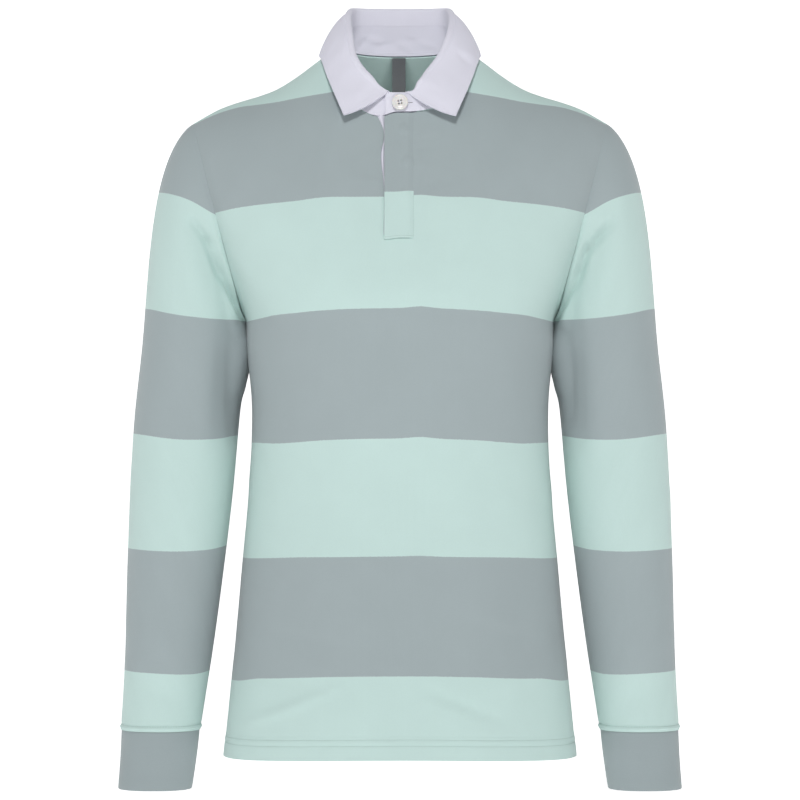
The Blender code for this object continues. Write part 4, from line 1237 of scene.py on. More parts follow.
# %% Collar leaf
LEAF_WALL = 0.0016
RISE_CELLS = 8
ROLL_CELLS = 12
FALL_CELLS = 30
END_CELLS = 6
FALL_PULL = 0.5
FLARE_START = (0.78, 0.45)
FLARE_END = (0.27, 0.90)
SLOUCH_LIFT = 0.3
SLOUCH_FLAT = 0.0045
POINT_ANGLES_LEFT = (6.0, 24.0)
POINT_ANGLES_RIGHT = (5.0, 13.0)
POINT_LEAVE = (0.90, 0.17)
POINT_ARRIVE = (1.09, 0.25)
POINT_RISE = 0.0010
POINT_RADIUS = 0.0012
LEAF_FRONT_Y = 0.004
LEAF_HOLD = 4
LEAF_CREASES = (
    (FRONT, 0.0560, 0.0010, 0.0700, -0.0120, 0.0026, -0.0011),
    (FRONT, 0.0600, 0.0060, 0.0760, -0.0060, 0.0034, 0.0009),
    (FRONT, 0.0500, 0.0200, 0.0580, -0.0060, 0.0040, 0.0008),
    (FRONT, 0.0440, -0.0240, 0.0560, -0.0440, 0.0060, 0.0007),
    (FRONT, 0.0260, -0.0330, 0.0420, -0.0440, 0.0050, -0.0006),
    (FRONT, 0.0640, -0.0260, 0.0580, -0.0500, 0.0050, -0.0006),
    (FRONT, -0.0510, 0.0250, -0.0560, 0.0000, 0.0036, 0.0009),
    (FRONT, -0.0600, 0.0160, -0.0700, -0.0040, 0.0040, -0.0008),
    (FRONT, -0.0480, -0.0120, -0.0640, -0.0330, 0.0070, 0.0008),
    (FRONT, -0.0300, -0.0320, -0.0440, -0.0480, 0.0050, 0.0006),
    (FRONT, -0.0660, -0.0180, -0.0600, -0.0480, 0.0050, -0.0006),
    (BACK, -0.0500, 0.0200, -0.0600, 0.0000, 0.0060, 0.0010),
    (BACK, 0.0200, 0.0300, 0.0260, 0.0000, 0.0090, 0.0009),
    (BACK, -0.0240, 0.0280, -0.0180, 0.0020, 0.0080, -0.0008),
    (BACK, 0.0520, 0.0180, 0.0640, -0.0020, 0.0060, -0.0009),
)


def leaf_profile(top, facing, rising, angle):
    """Visible face of the leaf at one station: rise, roll and fall."""
    edge = collar_place("edge", angle)
    out = edge - top
    out[2] = 0.0
    out = unit(out)
    first, last = POINT_ANGLES_LEFT if angle < 0 else POINT_ANGLES_RIGHT
    point = 1 - float(ease((abs(angle) - first) / (last - first)))
    radius = collar_value("radius", angle) * (1 - point) + POINT_RADIUS * point
    seat = top - facing * WALL + rising * LEAF_SEAT
    slouch = collar_value("slouch", angle) if angle > 0 else 0.0
    peak = top + out * (collar_value("lean", angle) - slouch)
    peak[2] += collar_value("rise", angle) * (1 - point) + POINT_RISE * point
    peak[2] += slouch * SLOUCH_LIFT
    hub = peak - np.array((0.0, 0.0, radius))
    up = np.array((0.0, 0.0, 1.0))
    start = hub - out * radius
    profile = [seat + (start - seat) * s for s in np.linspace(0, 1, RISE_CELLS + 1)]
    for turn in np.linspace(math.pi, 0.0, ROLL_CELLS + 1)[1:]:
        profile.append(hub + (out * math.cos(turn) + up * math.sin(turn)) * radius)
    begin = profile[-1]
    reach = edge - begin
    length = np.linalg.norm(reach)
    flare = collar_value("flare", angle)
    leave = -up * length * FALL_PULL * (1 - flare)
    leave += (out * FLARE_START[0] - up * FLARE_START[1]) * length * flare
    arrive = reach * (1 - flare)
    arrive += (out * FLARE_END[0] - up * FLARE_END[1]) * length * flare
    flat = min(slouch / SLOUCH_FLAT, 1.0)
    leave = leave * (1 - flat) + reach * flat
    arrive = arrive * (1 - flat) + reach * flat
    leave *= 1 - point
    leave += (reach * POINT_LEAVE[0] - up * length * POINT_LEAVE[1]) * point
    arrive *= 1 - point
    arrive += (reach * POINT_ARRIVE[0] + up * length * POINT_ARRIVE[1]) * point
    for s in np.linspace(0, 1, FALL_CELLS + 1)[1:]:
        early = begin * (1 + 2 * s) + leave * s
        late = edge * (3 - 2 * s) + arrive * (s - 1)
        profile.append(early * (1 - s) ** 2 + late * s ** 2)
    return profile


def leaf_seats():
    """Where the leaf is sewn on, with facings, rises and angles."""
    rising = unit(stand_outer[-1] - stand_outer[-2])
    top_x = stand_outer[-1, -LAP_CELLS - 1:, 0]
    place = np.array([np.interp(-LEAF_END_LEFT, -top_x, stand_outer[-1, -LAP_CELLS - 1:, k])
                      for k in range(3)])
    first = LAP_CELLS + 1
    seats = []
    for share in np.linspace(0, 1, END_CELLS + 1)[:-1]:
        spot = place + (stand_outer[-1, first] - place) * share
        facing = unit(stand_normals[-1, -1] * (1 - share) + stand_normals[-1, first] * share)
        lift = unit(rising[-1] * (1 - share) + rising[first] * share)
        angle = neck_angle(LEAF_END_LEFT) * (1 - share) + stations[first][0] * share
        seats.append((spot, facing, lift, angle))
    for number in range(first, len(stations) - LAP_CELLS + 1):
        angle = stations[number][0]
        seats.append((stand_outer[-1, number], stand_normals[-1, number], rising[number], angle))
    return seats


seats = leaf_seats()
leaf_points = np.array([leaf_profile(*seat) for seat in seats]).transpose(1, 0, 2)
leaf_normals = grid_normals(leaf_points)
leaf_flip = leaf_normals[-2, leaf_normals.shape[1] // 2, 1] < 0
leaf_normals = -leaf_normals if leaf_flip else leaf_normals
leaf_sides = np.where(leaf_points[..., 1] < LEAF_FRONT_Y, FRONT, BACK)
fall = np.concatenate((np.zeros(RISE_CELLS + ROLL_CELLS), np.linspace(0, 1, FALL_CELLS + 1)))
leaf_lift = fold_lift(leaf_points, leaf_sides, LEAF_CREASES) * ease(fall * LEAF_HOLD)[:, None]
leaf_points = leaf_points + leaf_normals * leaf_lift[..., None]
leaf_normals = grid_normals(leaf_points, flip=leaf_flip)
leaf_normals[0] = [-facing for _, facing, _, _ in seats]
leaf_cloth = cloth_wall(
    "collar_leaf_cloth", leaf_points, leaf_points - leaf_normals * LEAF_WALL, white_weave,
    cloth_maps(leaf_points, np.zeros(leaf_points.shape[:2])), flip=bool(leaf_flip),
)

# %% [markdown]
# A sleeve is a tube. Its first ring is the armhole, row for row with the
# body panels, and it turns down over the shoulder into level rings that
# narrow to the cuff. The underarm keeps the main creases, because an arm that
# hangs straight folds its sleeve there.

# %% Form of the sleeves
SLEEVE_COLUMNS = ("height", "outer", "inner", "half_depth", "middle_y")
SLEEVE_SECTIONS = (
    (-0.300, 0.2585, 0.1532, 0.0587, 0.0000),
    (-0.353, 0.2642, 0.1594, 0.0550, -0.0030),
    (-0.433, 0.2688, 0.1665, 0.0510, -0.0080),
    (-0.513, 0.2714, 0.1758, 0.0465, -0.0130),
    (-0.593, 0.2730, 0.1864, 0.0420, -0.0180),
    (-0.633, 0.2747, 0.1925, 0.0390, -0.0215),
    (-0.669, 0.2768, 0.1980, 0.0365, -0.0250),
)
CUFF_SECTIONS = (
    (-0.6693, 0.2760, 0.1988, 0.0357, -0.0250),
    (-0.6850, 0.2766, 0.2003, 0.0345, -0.0255),
    (-0.7060, 0.2778, 0.2030, 0.0322, -0.0262),
    (-0.7275, 0.2795, 0.2062, 0.0300, -0.0270),
)
SLEEVE = smooth_curves(SLEEVE_COLUMNS, SLEEVE_SECTIONS)
CUFF = smooth_curves(SLEEVE_COLUMNS, CUFF_SECTIONS)
SLEEVE_POWER = 2.2
SLEEVE_TOP_Z = -0.300
SLEEVE_END_Z = -0.669
CAP_RINGS = 56
SLEEVE_RINGS = 120
END_RINGS = 24
END_DEPTH = 0.0140
CAP_PULL = 0.714
SLEEVE_PULL = 0.95
SEAM_TUCK = 0.0006
LEAST_FLAT = 0.5
CAP_OUTWARD = (0.25, 0.45, 0.70)
SLEEVE_SETTLE = (0.11, -0.02, -1.0)
ARMPIT_FOLDS = (
    (FRONT, 0.2050, -0.1600, 0.1640, -0.2640, 0.0150, -0.0045),
    (FRONT, 0.1850, -0.2050, 0.1650, -0.2850, 0.0110, 0.0035),
    (FRONT, 0.1700, -0.2600, 0.1760, -0.3850, 0.0100, -0.0040),
    (BACK, 0.2060, -0.1550, 0.1640, -0.2640, 0.0150, -0.0045),
    (BACK, 0.1880, -0.2000, 0.1650, -0.2850, 0.0120, 0.0035),
    (BACK, 0.1720, -0.2600, 0.1800, -0.3700, 0.0110, -0.0035),
)
INNER_TOUCH = (
    (FRONT, 0.1520, -0.2300, 0.1560, -0.3280, 0.0110, 0.0060),
    (BACK, 0.1520, -0.2300, 0.1560, -0.3280, 0.0110, 0.0060),
)
SLEEVE_FOLDS = {
    LEFT: (
        (FRONT, 0.2060, -0.1660, 0.1860, -0.1900, 0.0044, -0.0046),
        (FRONT, 0.1900, -0.1860, 0.1640, -0.2440, 0.0048, -0.0060),
        (FRONT, 0.1690, -0.2160, 0.1570, -0.2640, 0.0032, -0.0056),
        (FRONT, 0.1740, -0.2240, 0.1620, -0.2760, 0.0036, 0.0034),
        (FRONT, 0.1640, -0.2700, 0.1650, -0.3840, 0.0056, -0.0046),
        (FRONT, 0.2300, -0.3300, 0.1900, -0.3900, 0.0160, -0.0012),
        (FRONT, 0.2560, -0.4200, 0.2100, -0.4600, 0.0140, 0.0013),
        (FRONT, 0.2500, -0.4700, 0.1960, -0.5160, 0.0120, -0.0012),
        (FRONT, 0.2620, -0.5600, 0.2160, -0.5900, 0.0110, 0.0011),
        (FRONT, 0.2600, -0.6200, 0.2100, -0.6420, 0.0080, -0.0012),
        (FRONT, 0.2360, -0.6300, 0.2320, -0.6680, 0.0060, 0.0008),
        (BACK, 0.2000, -0.1760, 0.1680, -0.2700, 0.0060, -0.0018),
        (BACK, 0.2480, -0.3900, 0.1920, -0.4300, 0.0100, -0.0034),
        (BACK, 0.2540, -0.4360, 0.1960, -0.4800, 0.0092, 0.0028),
        (BACK, 0.2580, -0.5300, 0.2060, -0.5560, 0.0088, -0.0028),
        (BACK, 0.2560, -0.6100, 0.2140, -0.6350, 0.0070, -0.0024),
    ),
    RIGHT: (
        (FRONT, 0.2090, -0.1680, 0.1780, -0.2000, 0.0044, -0.0060),
        (FRONT, 0.1820, -0.1960, 0.1640, -0.2480, 0.0046, -0.0060),
        (FRONT, 0.1650, -0.2160, 0.1575, -0.2640, 0.0030, -0.0056),
        (FRONT, 0.1720, -0.2240, 0.1630, -0.2700, 0.0034, 0.0038),
        (FRONT, 0.1640, -0.2760, 0.1670, -0.3640, 0.0050, -0.0042),
        (FRONT, 0.2340, -0.3440, 0.1920, -0.4100, 0.0150, -0.0013),
        (FRONT, 0.2600, -0.4400, 0.2140, -0.4720, 0.0130, 0.0012),
        (FRONT, 0.2520, -0.4960, 0.2000, -0.5300, 0.0130, -0.0013),
        (FRONT, 0.2640, -0.5760, 0.2200, -0.6020, 0.0100, 0.0010),
        (FRONT, 0.2560, -0.6260, 0.2100, -0.6460, 0.0080, -0.0011),
        (FRONT, 0.2420, -0.6340, 0.2440, -0.6680, 0.0060, 0.0008),
        (BACK, 0.2020, -0.1700, 0.1680, -0.2640, 0.0060, -0.0019),
        (BACK, 0.2460, -0.3760, 0.1900, -0.4240, 0.0104, -0.0036),
        (BACK, 0.2560, -0.4500, 0.1980, -0.4860, 0.0090, 0.0027),
        (BACK, 0.2560, -0.5440, 0.2080, -0.5700, 0.0086, -0.0029),
        (BACK, 0.2580, -0.6180, 0.2120, -0.6400, 0.0068, -0.0023),
    ),
}


def level_rings(curves, side, heights, turns):
    """Level rings of a sleeve or cuff, from the inner side round the front."""
    z = np.asarray(heights, float)[:, None]
    outer = read(curves["outer"], z)
    inner = read(curves["inner"], z)
    cosine = np.cos(turns)[None, :]
    sine = np.sin(turns)[None, :]
    across = np.sign(cosine) * np.abs(cosine) ** (2 / SLEEVE_POWER)
    deep = np.sign(sine) * np.abs(sine) ** (2 / SLEEVE_POWER)
    x = side * ((outer + inner) / 2 - (outer - inner) / 2 * across)
    y = read(curves["middle_y"], z) - read(curves["half_depth"], z) * deep
    return np.stack((x, y, np.broadcast_to(z, x.shape)), axis=-1)


def armhole_loop(side):
    """Points round an armhole, up the front and down the back."""
    column = 0 if side < 0 else -1
    up = front_form[LOW_ROWS:, column].copy()
    down = back_form[LOW_ROWS:, column][::-1].copy()
    up[0, 1] = 0.0
    up[-1, 1] = 0.0
    return np.concatenate((up, down[1:-1]))


def sleeve_turns():
    """Angle round the sleeve of each of its columns."""
    turns = math.pi * chest_shares()
    return np.concatenate((turns, 2 * math.pi - turns[-2:0:-1]))


def sleeve_rings(side):
    """Smooth outer points of a sleeve, and the armhole's outward direction."""
    loop = armhole_loop(side)
    turns = sleeve_turns()
    line = unit(loop[len(turns) // 2] - loop[0])
    plane = unit(np.array((side * line[2], 0.0, -side * line[0])))
    start = loop - plane * SEAM_TUCK
    finish = level_rings(SLEEVE, side, [SLEEVE_TOP_Z], turns)[0]
    reach = np.linalg.norm(finish - start, axis=1)[:, None]
    height = (1 - np.cos(turns)) / 2
    outward = np.interp(height, (0.0, 0.5, 1.0), CAP_OUTWARD)[:, None]
    down = np.array((0.0, 0.0, -1.0))
    leave = unit(plane * outward + down * (1 - outward)) * reach * CAP_PULL
    arrive = unit(np.array((side * SLEEVE_SETTLE[0], *SLEEVE_SETTLE[1:]))) * reach * SLEEVE_PULL
    rings = []
    for s in np.linspace(0, 1, CAP_RINGS + 1):
        early = start * (1 + 2 * s) + leave * s
        late = finish * (3 - 2 * s) + arrive * (s - 1)
        rings.append(early * (1 - s) ** 2 + late * s ** 2)
    fine_z = SLEEVE_END_Z + END_DEPTH
    heights = np.concatenate((
        np.linspace(SLEEVE_TOP_Z, fine_z, SLEEVE_RINGS - END_RINGS + 1)[1:],
        np.linspace(fine_z, SLEEVE_END_Z, END_RINGS + 1)[1:],
    ))
    return np.concatenate((rings, level_rings(SLEEVE, side, heights, turns))), plane


def outward_tube_normals(rings, side):
    """Normals that point out of a tube, and whether its faces are flipped."""
    normals = grid_normals(rings, around=True)
    flip = bool(normals[-3, normals.shape[1] // 2, 0] * side < 0)
    return (-normals if flip else normals), flip


top_ring = dict(zip(SLEEVE_COLUMNS, SLEEVE_SECTIONS[0]))
print("sleeve opens", round(top_ring["outer"] - top_ring["inner"], 4), "m wide under the arm")

# %% [markdown]
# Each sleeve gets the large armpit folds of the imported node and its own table
# of finer creases. Its inner side swells a little under the armpit, where
# sleeve and body press together. The cuff seam leaves a small raised ridge
# above the cuff, with a groove under the stitches.

# %% Sleeves
SEAM_RIDGE = 0.0011
SEAM_RIDGE_WIDTH = 0.0018
SEAM_RIDGE_UP = 0.0030
CUFF_STITCH_UP = 0.0058
CAP_CALM = 0.014
CUFF_CALM = 0.012
TOUCH_CALM = 0.006


def sleeve_lift(rings, side):
    """How far folds and seams move each point of a sleeve out."""
    places = rings * (side, 1, 1)
    facing = np.where(places[..., 1] < read(SLEEVE["middle_y"], places[..., 2]), FRONT, BACK)
    lift = fold_lift(places, facing, ARMPIT_FOLDS)
    lift += fold_lift(places, facing, SLEEVE_FOLDS[side])
    down = path_length(rings, 0)
    lift = lift * ease(down / CAP_CALM)
    left_over = down[-1:] - down
    lift = lift * ease(left_over / CUFF_CALM)
    lift += fold_lift(places, facing, INNER_TOUCH) * ease(down / TOUCH_CALM)
    lift += SEAM_RIDGE * np.exp(-((left_over - SEAM_RIDGE_UP) / SEAM_RIDGE_WIDTH) ** 2)
    lift -= GROOVE * np.exp(-((left_over - CUFF_STITCH_UP) / GROOVE_WIDTH) ** 2)
    lift -= SEAM_SINK * np.exp(-(down / SEAM_REACH) ** 2)
    return lift


def sleeve_bands(rings):
    """Band numbers of a sleeve, by how far across it each point is."""
    z = np.minimum(rings[..., 2], SLEEVE_TOP_Z)
    outer = read(SLEEVE["outer"], z)
    inner = read(SLEEVE["inner"], z)
    across = (2 * np.abs(rings[..., 0]) - outer - inner) / (outer - inner)
    return band_numbers(np.clip(across, -1, 1), rings[..., 2], SLEEVE_BAND_COLUMNS, SLEEVE_BANDS)


def make_sleeve(name, side):
    """One sleeve as a tube of cloth, with its outer points and normals."""
    rings, plane = sleeve_rings(side)
    normals, flip = outward_tube_normals(rings, side)
    bands = sleeve_bands(rings)
    rings = rings + normals * sleeve_lift(rings, side)[..., None]
    normals = grid_normals(rings, flip=flip, around=True)
    outward = rings[0] - rings[0].mean(axis=0)
    outward -= plane * (outward @ plane)[:, None]
    flat = normals[0] - plane * (normals[0] @ plane)[:, None]
    flat = np.where(np.linalg.norm(flat, axis=1, keepdims=True) > LEAST_FLAT, flat, outward)
    normals[0] = unit(flat * np.sign(np.sum(flat * outward, axis=1, keepdims=True)))
    normals[-1, :, 2] = 0.0
    normals = unit(normals)
    maps = cloth_maps(rings, bands, around=True)
    inner = rings - normals * WALL
    cloth = cloth_wall(name, rings, inner, banded_knit, maps, flip=flip, around=True)
    return cloth, rings, normals


sleeve_left, sleeve_left_points, sleeve_left_normals = make_sleeve("sleeve_left_cloth", LEFT)
sleeve_right, sleeve_right_points, sleeve_right_normals = make_sleeve("sleeve_right_cloth", RIGHT)

# %% [markdown]
# The cuffs are short straight tubes of plain grey knit, folded double, so
# their lower edge is round rather than cut.

# %% Cuffs
CUFF_RINGS = 26
CUFF_TURNS = 96
CUFF_EDGE = 0.0016
ROUND_UP = 0.45
ROUND_IN = (0.08, 0.28)
ROUND_INSIDE = 1.2


def make_cuff(name, side):
    """One cuff as a tube of double cloth, with its outer points."""
    turns = np.linspace(0, 2 * math.pi, CUFF_TURNS + 1)[:-1]
    heights = np.linspace(CUFF_SECTIONS[0][0], CUFF_SECTIONS[-1][0], CUFF_RINGS + 1)
    heights[-2] = heights[-1] + CUFF_EDGE * ROUND_UP
    rings = level_rings(CUFF, side, heights, turns)
    normals, flip = outward_tube_normals(rings, side)
    normals[:, :, 2] = 0.0
    normals = unit(normals)
    inward = np.zeros(len(heights))
    inward[-2:] = np.array(ROUND_IN) * CUFF_EDGE
    rings = rings - normals * inward[:, None, None]
    inner = rings - normals * (WALL - ROUND_INSIDE * inward)[:, None, None]
    maps = cloth_maps(rings, np.zeros(rings.shape[:2]), around=True)
    cloth = cloth_wall(name, rings, inner, grey_knit, maps, flip=flip, around=True)
    return cloth, rings


cuff_left, cuff_left_points = make_cuff("cuff_left_cloth", LEFT)
cuff_right, cuff_right_points = make_cuff("cuff_right_cloth", RIGHT)

# %% [markdown]
# The label is a strip of dense satin tape sewn under the stand at the back
# neck. Two thin, slightly paler selvedges run down its sides, and it hangs a
# little away from the cloth, so it needs its own slope.

# %% Label
LABEL_LEFT = -0.0080
LABEL_RIGHT = 0.0056
LABEL_LENGTH = 0.0450
LABEL_SLOPE = 0.20
LABEL_CLEAR = 0.0009
LABEL_DROP = 0.0020
LABEL_WALL = 0.0010
LABEL_ROWS = 36
LABEL_COLUMNS = 12
LABEL_BOW = 0.0004
SELVEDGE = 0.0009
SELVEDGE_TONE = (0.110, 0.120, 0.126)
TAPE = (0.104, 0.110, 0.116)
TAPE_WALE = 0.0005
TAPE_COURSE = 0.0004
TAPE_GRAINY = {"scale": 800.0, "detail": 2.0, "swing": 0.16}


def label_finish():
    """Dark satin tape with firmer, paler edges, set by the distance across it."""
    material, tree, shader = cloth_finish("label_tape", sheen=0.05, roughness=0.50)
    across, up, source = read_map(tree, "cloth")
    out = join_math(tree, "ABSOLUTE", across)
    edge = join_math(tree, "GREATER_THAN", out, (LABEL_RIGHT - LABEL_LEFT) / 2 - SELVEDGE)
    grain = patchy(tree, source, **TAPE_GRAINY)
    tone = add_node(tree, "ShaderNodeVectorMath", operation="SCALE")
    tree.links.new(mix_colours(tree, edge, TAPE, SELVEDGE_TONE), tone.inputs[0])
    tree.links.new(grain, tone.inputs["Scale"])
    tree.links.new(tone.outputs[0], shader.inputs["Base Color"])
    height = knit_height(tree, across, up, TAPE_WALE, TAPE_COURSE)
    raise_surface(tree, shader, height, strength=0.35, distance=WEAVE_BUMP)
    return material


def label_grid():
    """Points of the label, bottom row first."""
    centre = stand_outer.shape[1] // 2
    top = stand_outer[0, centre] - stand_normals[0, centre] * WALL
    x = np.linspace(LABEL_LEFT, LABEL_RIGHT, LABEL_COLUMNS + 1)
    share = (x - x.mean()) / (x[-1] - x.mean())
    rows = []
    for s in np.linspace(1, 0, LABEL_ROWS):
        drop = LABEL_LENGTH * s
        y = top[1] - LABEL_CLEAR + LABEL_SLOPE * drop * s - LABEL_BOW * s * share ** 2
        z = top[2] - LABEL_DROP - drop
        rows.append(np.stack((x, y, np.full(x.shape, z)), axis=1))
    return np.array(rows)


label_outer = label_grid()
label_inner = label_outer - grid_normals(label_outer) * LABEL_WALL
label_cloth = cloth_wall(
    "neck_label_cloth", label_outer, label_inner, label_finish(),
    cloth_maps(label_outer, np.zeros(label_outer.shape[:2])),
)

# %% [markdown]
# The button is turned from shell. A lathe cuts a dish in its face and rounds
# its rim, and a drill makes four holes for the thread. The turned shape is a
# profile spun round, and the holes are cut with Boolean modifiers. The result
# is kept as a plain mesh.

# %% Button
BUTTON_SIDES = 96
BUTTON_PROFILE = (
    (0.00150, 0.00215),
    (0.00400, 0.00220),
    (0.00520, 0.00238),
    (0.00585, 0.00268),
    (0.00640, 0.00295),
    (0.00690, 0.00298),
    (0.00744, 0.00278),
    (0.00785, 0.00235),
    (0.00800, 0.00180),
    (0.00790, 0.00110),
    (0.00750, 0.00045),
    (0.00704, 0.00000),
)
BUTTON_Z = -0.0512
BUTTON_HOLE_RADIUS = 0.0009
BUTTON_HOLE_SPACING = 0.0014
BUTTON_HOLE_SIDES = 24
BUTTON_TURN = 0.20
BUTTON_SHANK = 0.0007
DRILL_ENDS = (0.006, -0.003)
SHARP_SHELL = math.radians(40)
SHELL_DARK = (0.66, 0.645, 0.62)
SHELL_PALE = (0.80, 0.79, 0.775)
SHELL_CLOUD_SCALE = 420.0
SHELL_RING_SCALE = 1500.0


def shell_finish():
    """Pale shell with a soft cloudy grain and a clear polish."""
    material = bpy.data.materials.new("button_shell")
    material.use_nodes = True
    tree = material.node_tree
    shader = tree.nodes["Principled BSDF"]
    shader.inputs["Roughness"].default_value = 0.28
    shader.inputs["Coat Weight"].default_value = 0.35
    shader.inputs["Coat Roughness"].default_value = 0.12
    shader.inputs["Subsurface Weight"].default_value = 0.10
    shader.inputs["Subsurface Scale"].default_value = 0.001
    place = add_node(tree, "ShaderNodeTexCoord")
    cloud = uneven(tree, place.outputs["Object"], SHELL_CLOUD_SCALE, 3.0)
    colour = mix_colours(tree, cloud, SHELL_DARK, SHELL_PALE)
    tree.links.new(colour, shader.inputs["Base Color"])
    rings = uneven(tree, place.outputs["Object"], SHELL_RING_SCALE, 1.0)
    raise_surface(tree, shader, rings, strength=0.08, distance=0.0001)
    return material


def evaluated_copy(thing, name):
    """A plain mesh object of what an object's modifiers make."""
    graph = bpy.context.evaluated_depsgraph_get()
    mesh = bpy.data.meshes.new_from_object(thing.evaluated_get(graph))
    mesh.name = name
    plain = bpy.data.objects.new(name, mesh)
    bpy.context.scene.collection.objects.link(plain)
    return plain


def spun_profile(name, profile, sides):
    """A closed turned shape, its axis along Z."""
    turns = np.linspace(0, 2 * math.pi, sides + 1)[:-1]
    points = []
    for radius, height in profile:
        points += [(radius * math.cos(t), radius * math.sin(t), height) for t in turns]
    faces = [list(range(sides))]
    for ring in range(len(profile) - 1):
        for k in range(sides):
            beside = (k + 1) % sides
            upper = ring * sides
            lower = upper + sides
            faces.append((upper + beside, upper + k, lower + k, lower + beside))
    faces.append([len(points) - 1 - k for k in range(sides)])
    mesh = bpy.data.meshes.new(name)
    mesh.from_pydata(points, [], faces)
    thing = bpy.data.objects.new(name, mesh)
    bpy.context.scene.collection.objects.link(thing)
    return thing


def button_place():
    """The button's seat on the stand, and the way it faces."""
    column = stand_outer.shape[1] - 1 - LAP_CELLS // 2
    low = stand_outer[0, column]
    high = stand_outer[-1, column]
    share = (BUTTON_Z - low[2]) / (high[2] - low[2])
    seat = low + (high - low) * share
    seat[0] = 0.0
    facing = unit(stand_normals[BAND_ROWS // 2, column] * (0, 1, 1))
    return seat, facing


def hole_place(number):
    """Across and up from the button's middle to one of its four holes."""
    turn = BUTTON_TURN + math.pi / 4 + math.pi / 2 * number
    reach = BUTTON_HOLE_SPACING * math.sqrt(2)
    return reach * math.cos(turn), reach * math.sin(turn)


def make_button():
    """The drilled button as a plain mesh, in its place on the stand."""
    blank = spun_profile("button_blank", BUTTON_PROFILE, BUTTON_SIDES)
    drills = []
    tool = [(BUTTON_HOLE_RADIUS, end) for end in DRILL_ENDS]
    for number in range(4):
        drill = spun_profile("drill", tool, BUTTON_HOLE_SIDES)
        drill.location = (*hole_place(number), 0.0)
        cut = blank.modifiers.new("hole", "BOOLEAN")
        cut.operation = "DIFFERENCE"
        cut.solver = "EXACT"
        cut.object = drill
        drills.append(drill)
    bpy.context.view_layer.update()
    button = evaluated_copy(blank, "button_turned")
    seat, facing = button_place()
    tilt = math.atan2(-facing[1], facing[2])
    spot = seat + facing * BUTTON_SHANK
    cosine = math.cos(tilt)
    sine = math.sin(tilt)
    for vertex in button.data.vertices:
        x, y, z = vertex.co
        vertex.co = (spot[0] + x, spot[1] + y * cosine - z * sine, spot[2] + y * sine + z * cosine)
    for thing in (blank, *drills):
        bpy.data.objects.remove(thing, do_unlink=True)
    button.data.shade_smooth()
    button.data.set_sharp_from_angle(angle=SHARP_SHELL)
    button.data.materials.clear()
    button.data.materials.append(shell_finish())
    return button


button = make_button()
print("button", len(button.data.polygons), "faces, seat", np.round(button_place()[0], 4))

# %% [markdown]
# Every seam shows its thread. A stitch is a short fat grain of thread that
# dips into the cloth at both ends. One Geometry Nodes tree sets such a grain
# on every point of a row and turns it along the seam, so each row only needs
# its points, its direction and the way the cloth faces. The rows are made in
# plain Python, because a seam follows the cloth's own grid.

# %% Stitch tree
STITCH_SIDES = 6
STITCH_RINGS = 5
FIBRE_SCALE = 2600.0


def named_vector(tree, name):
    """A node that reads a named direction of each point."""
    node = tree.nodes.new("GeometryNodeInputNamedAttribute")
    node.data_type = "FLOAT_VECTOR"
    node.inputs["Name"].default_value = name
    return node


def stitch_tree(name, finish):
    """Set one grain of thread on each point, turned along its seam."""
    tree = bpy.data.node_groups.new(name, "GeometryNodeTree")
    sockets = tree.interface
    sockets.new_socket("Seam", in_out="INPUT", socket_type="NodeSocketGeometry")
    for label in ("Length", "Thickness"):
        sockets.new_socket(label, in_out="INPUT", socket_type="NodeSocketFloat")
    sockets.new_socket("Thread", in_out="OUTPUT", socket_type="NodeSocketGeometry")
    source = tree.nodes.new("NodeGroupInput")
    result = tree.nodes.new("NodeGroupOutput")
    grain = tree.nodes.new("GeometryNodeMeshUVSphere")
    grain.inputs["Segments"].default_value = STITCH_SIDES
    grain.inputs["Rings"].default_value = STITCH_RINGS
    grain.inputs["Radius"].default_value = 0.5
    along = named_vector(tree, "along")
    facing = named_vector(tree, "facing")
    turn = tree.nodes.new("FunctionNodeAxesToRotation")
    turn.primary_axis = "X"
    turn.secondary_axis = "Z"
    tree.links.new(along.outputs["Attribute"], turn.inputs["Primary Axis"])
    tree.links.new(facing.outputs["Attribute"], turn.inputs["Secondary Axis"])
    size = tree.nodes.new("ShaderNodeCombineXYZ")
    tree.links.new(source.outputs["Length"], size.inputs["X"])
    tree.links.new(source.outputs["Thickness"], size.inputs["Y"])
    tree.links.new(source.outputs["Thickness"], size.inputs["Z"])
    place = tree.nodes.new("GeometryNodeInstanceOnPoints")
    tree.links.new(source.outputs["Seam"], place.inputs["Points"])
    tree.links.new(grain.outputs["Mesh"], place.inputs["Instance"])
    tree.links.new(turn.outputs["Rotation"], place.inputs["Rotation"])
    tree.links.new(size.outputs[0], place.inputs["Scale"])
    solid = tree.nodes.new("GeometryNodeRealizeInstances")
    tree.links.new(place.outputs["Instances"], solid.inputs["Geometry"])
    paint = tree.nodes.new("GeometryNodeSetMaterial")
    paint.inputs["Material"].default_value = finish
    tree.links.new(solid.outputs["Geometry"], paint.inputs["Geometry"])
    tree.links.new(paint.outputs["Geometry"], result.inputs["Thread"])
    return tree


def thread_finish(name, first, second):
    """Spun thread: two close colours with a fine twist and a soft sheen."""
    material, tree, shader = cloth_finish(name, sheen=0.10, roughness=0.62)
    place = add_node(tree, "ShaderNodeTexCoord")
    fibre = uneven(tree, place.outputs["Object"], FIBRE_SCALE, 2.0)
    tree.links.new(mix_colours(tree, fibre, first, second), shader.inputs["Base Color"])
    raise_surface(tree, shader, fibre, strength=0.3, distance=0.0001)
    return material


def along_line(goals, length, values):
    """Values of a line at some distances along it."""
    return np.stack([np.interp(goals, length, values[:, k]) for k in range(3)], axis=1)


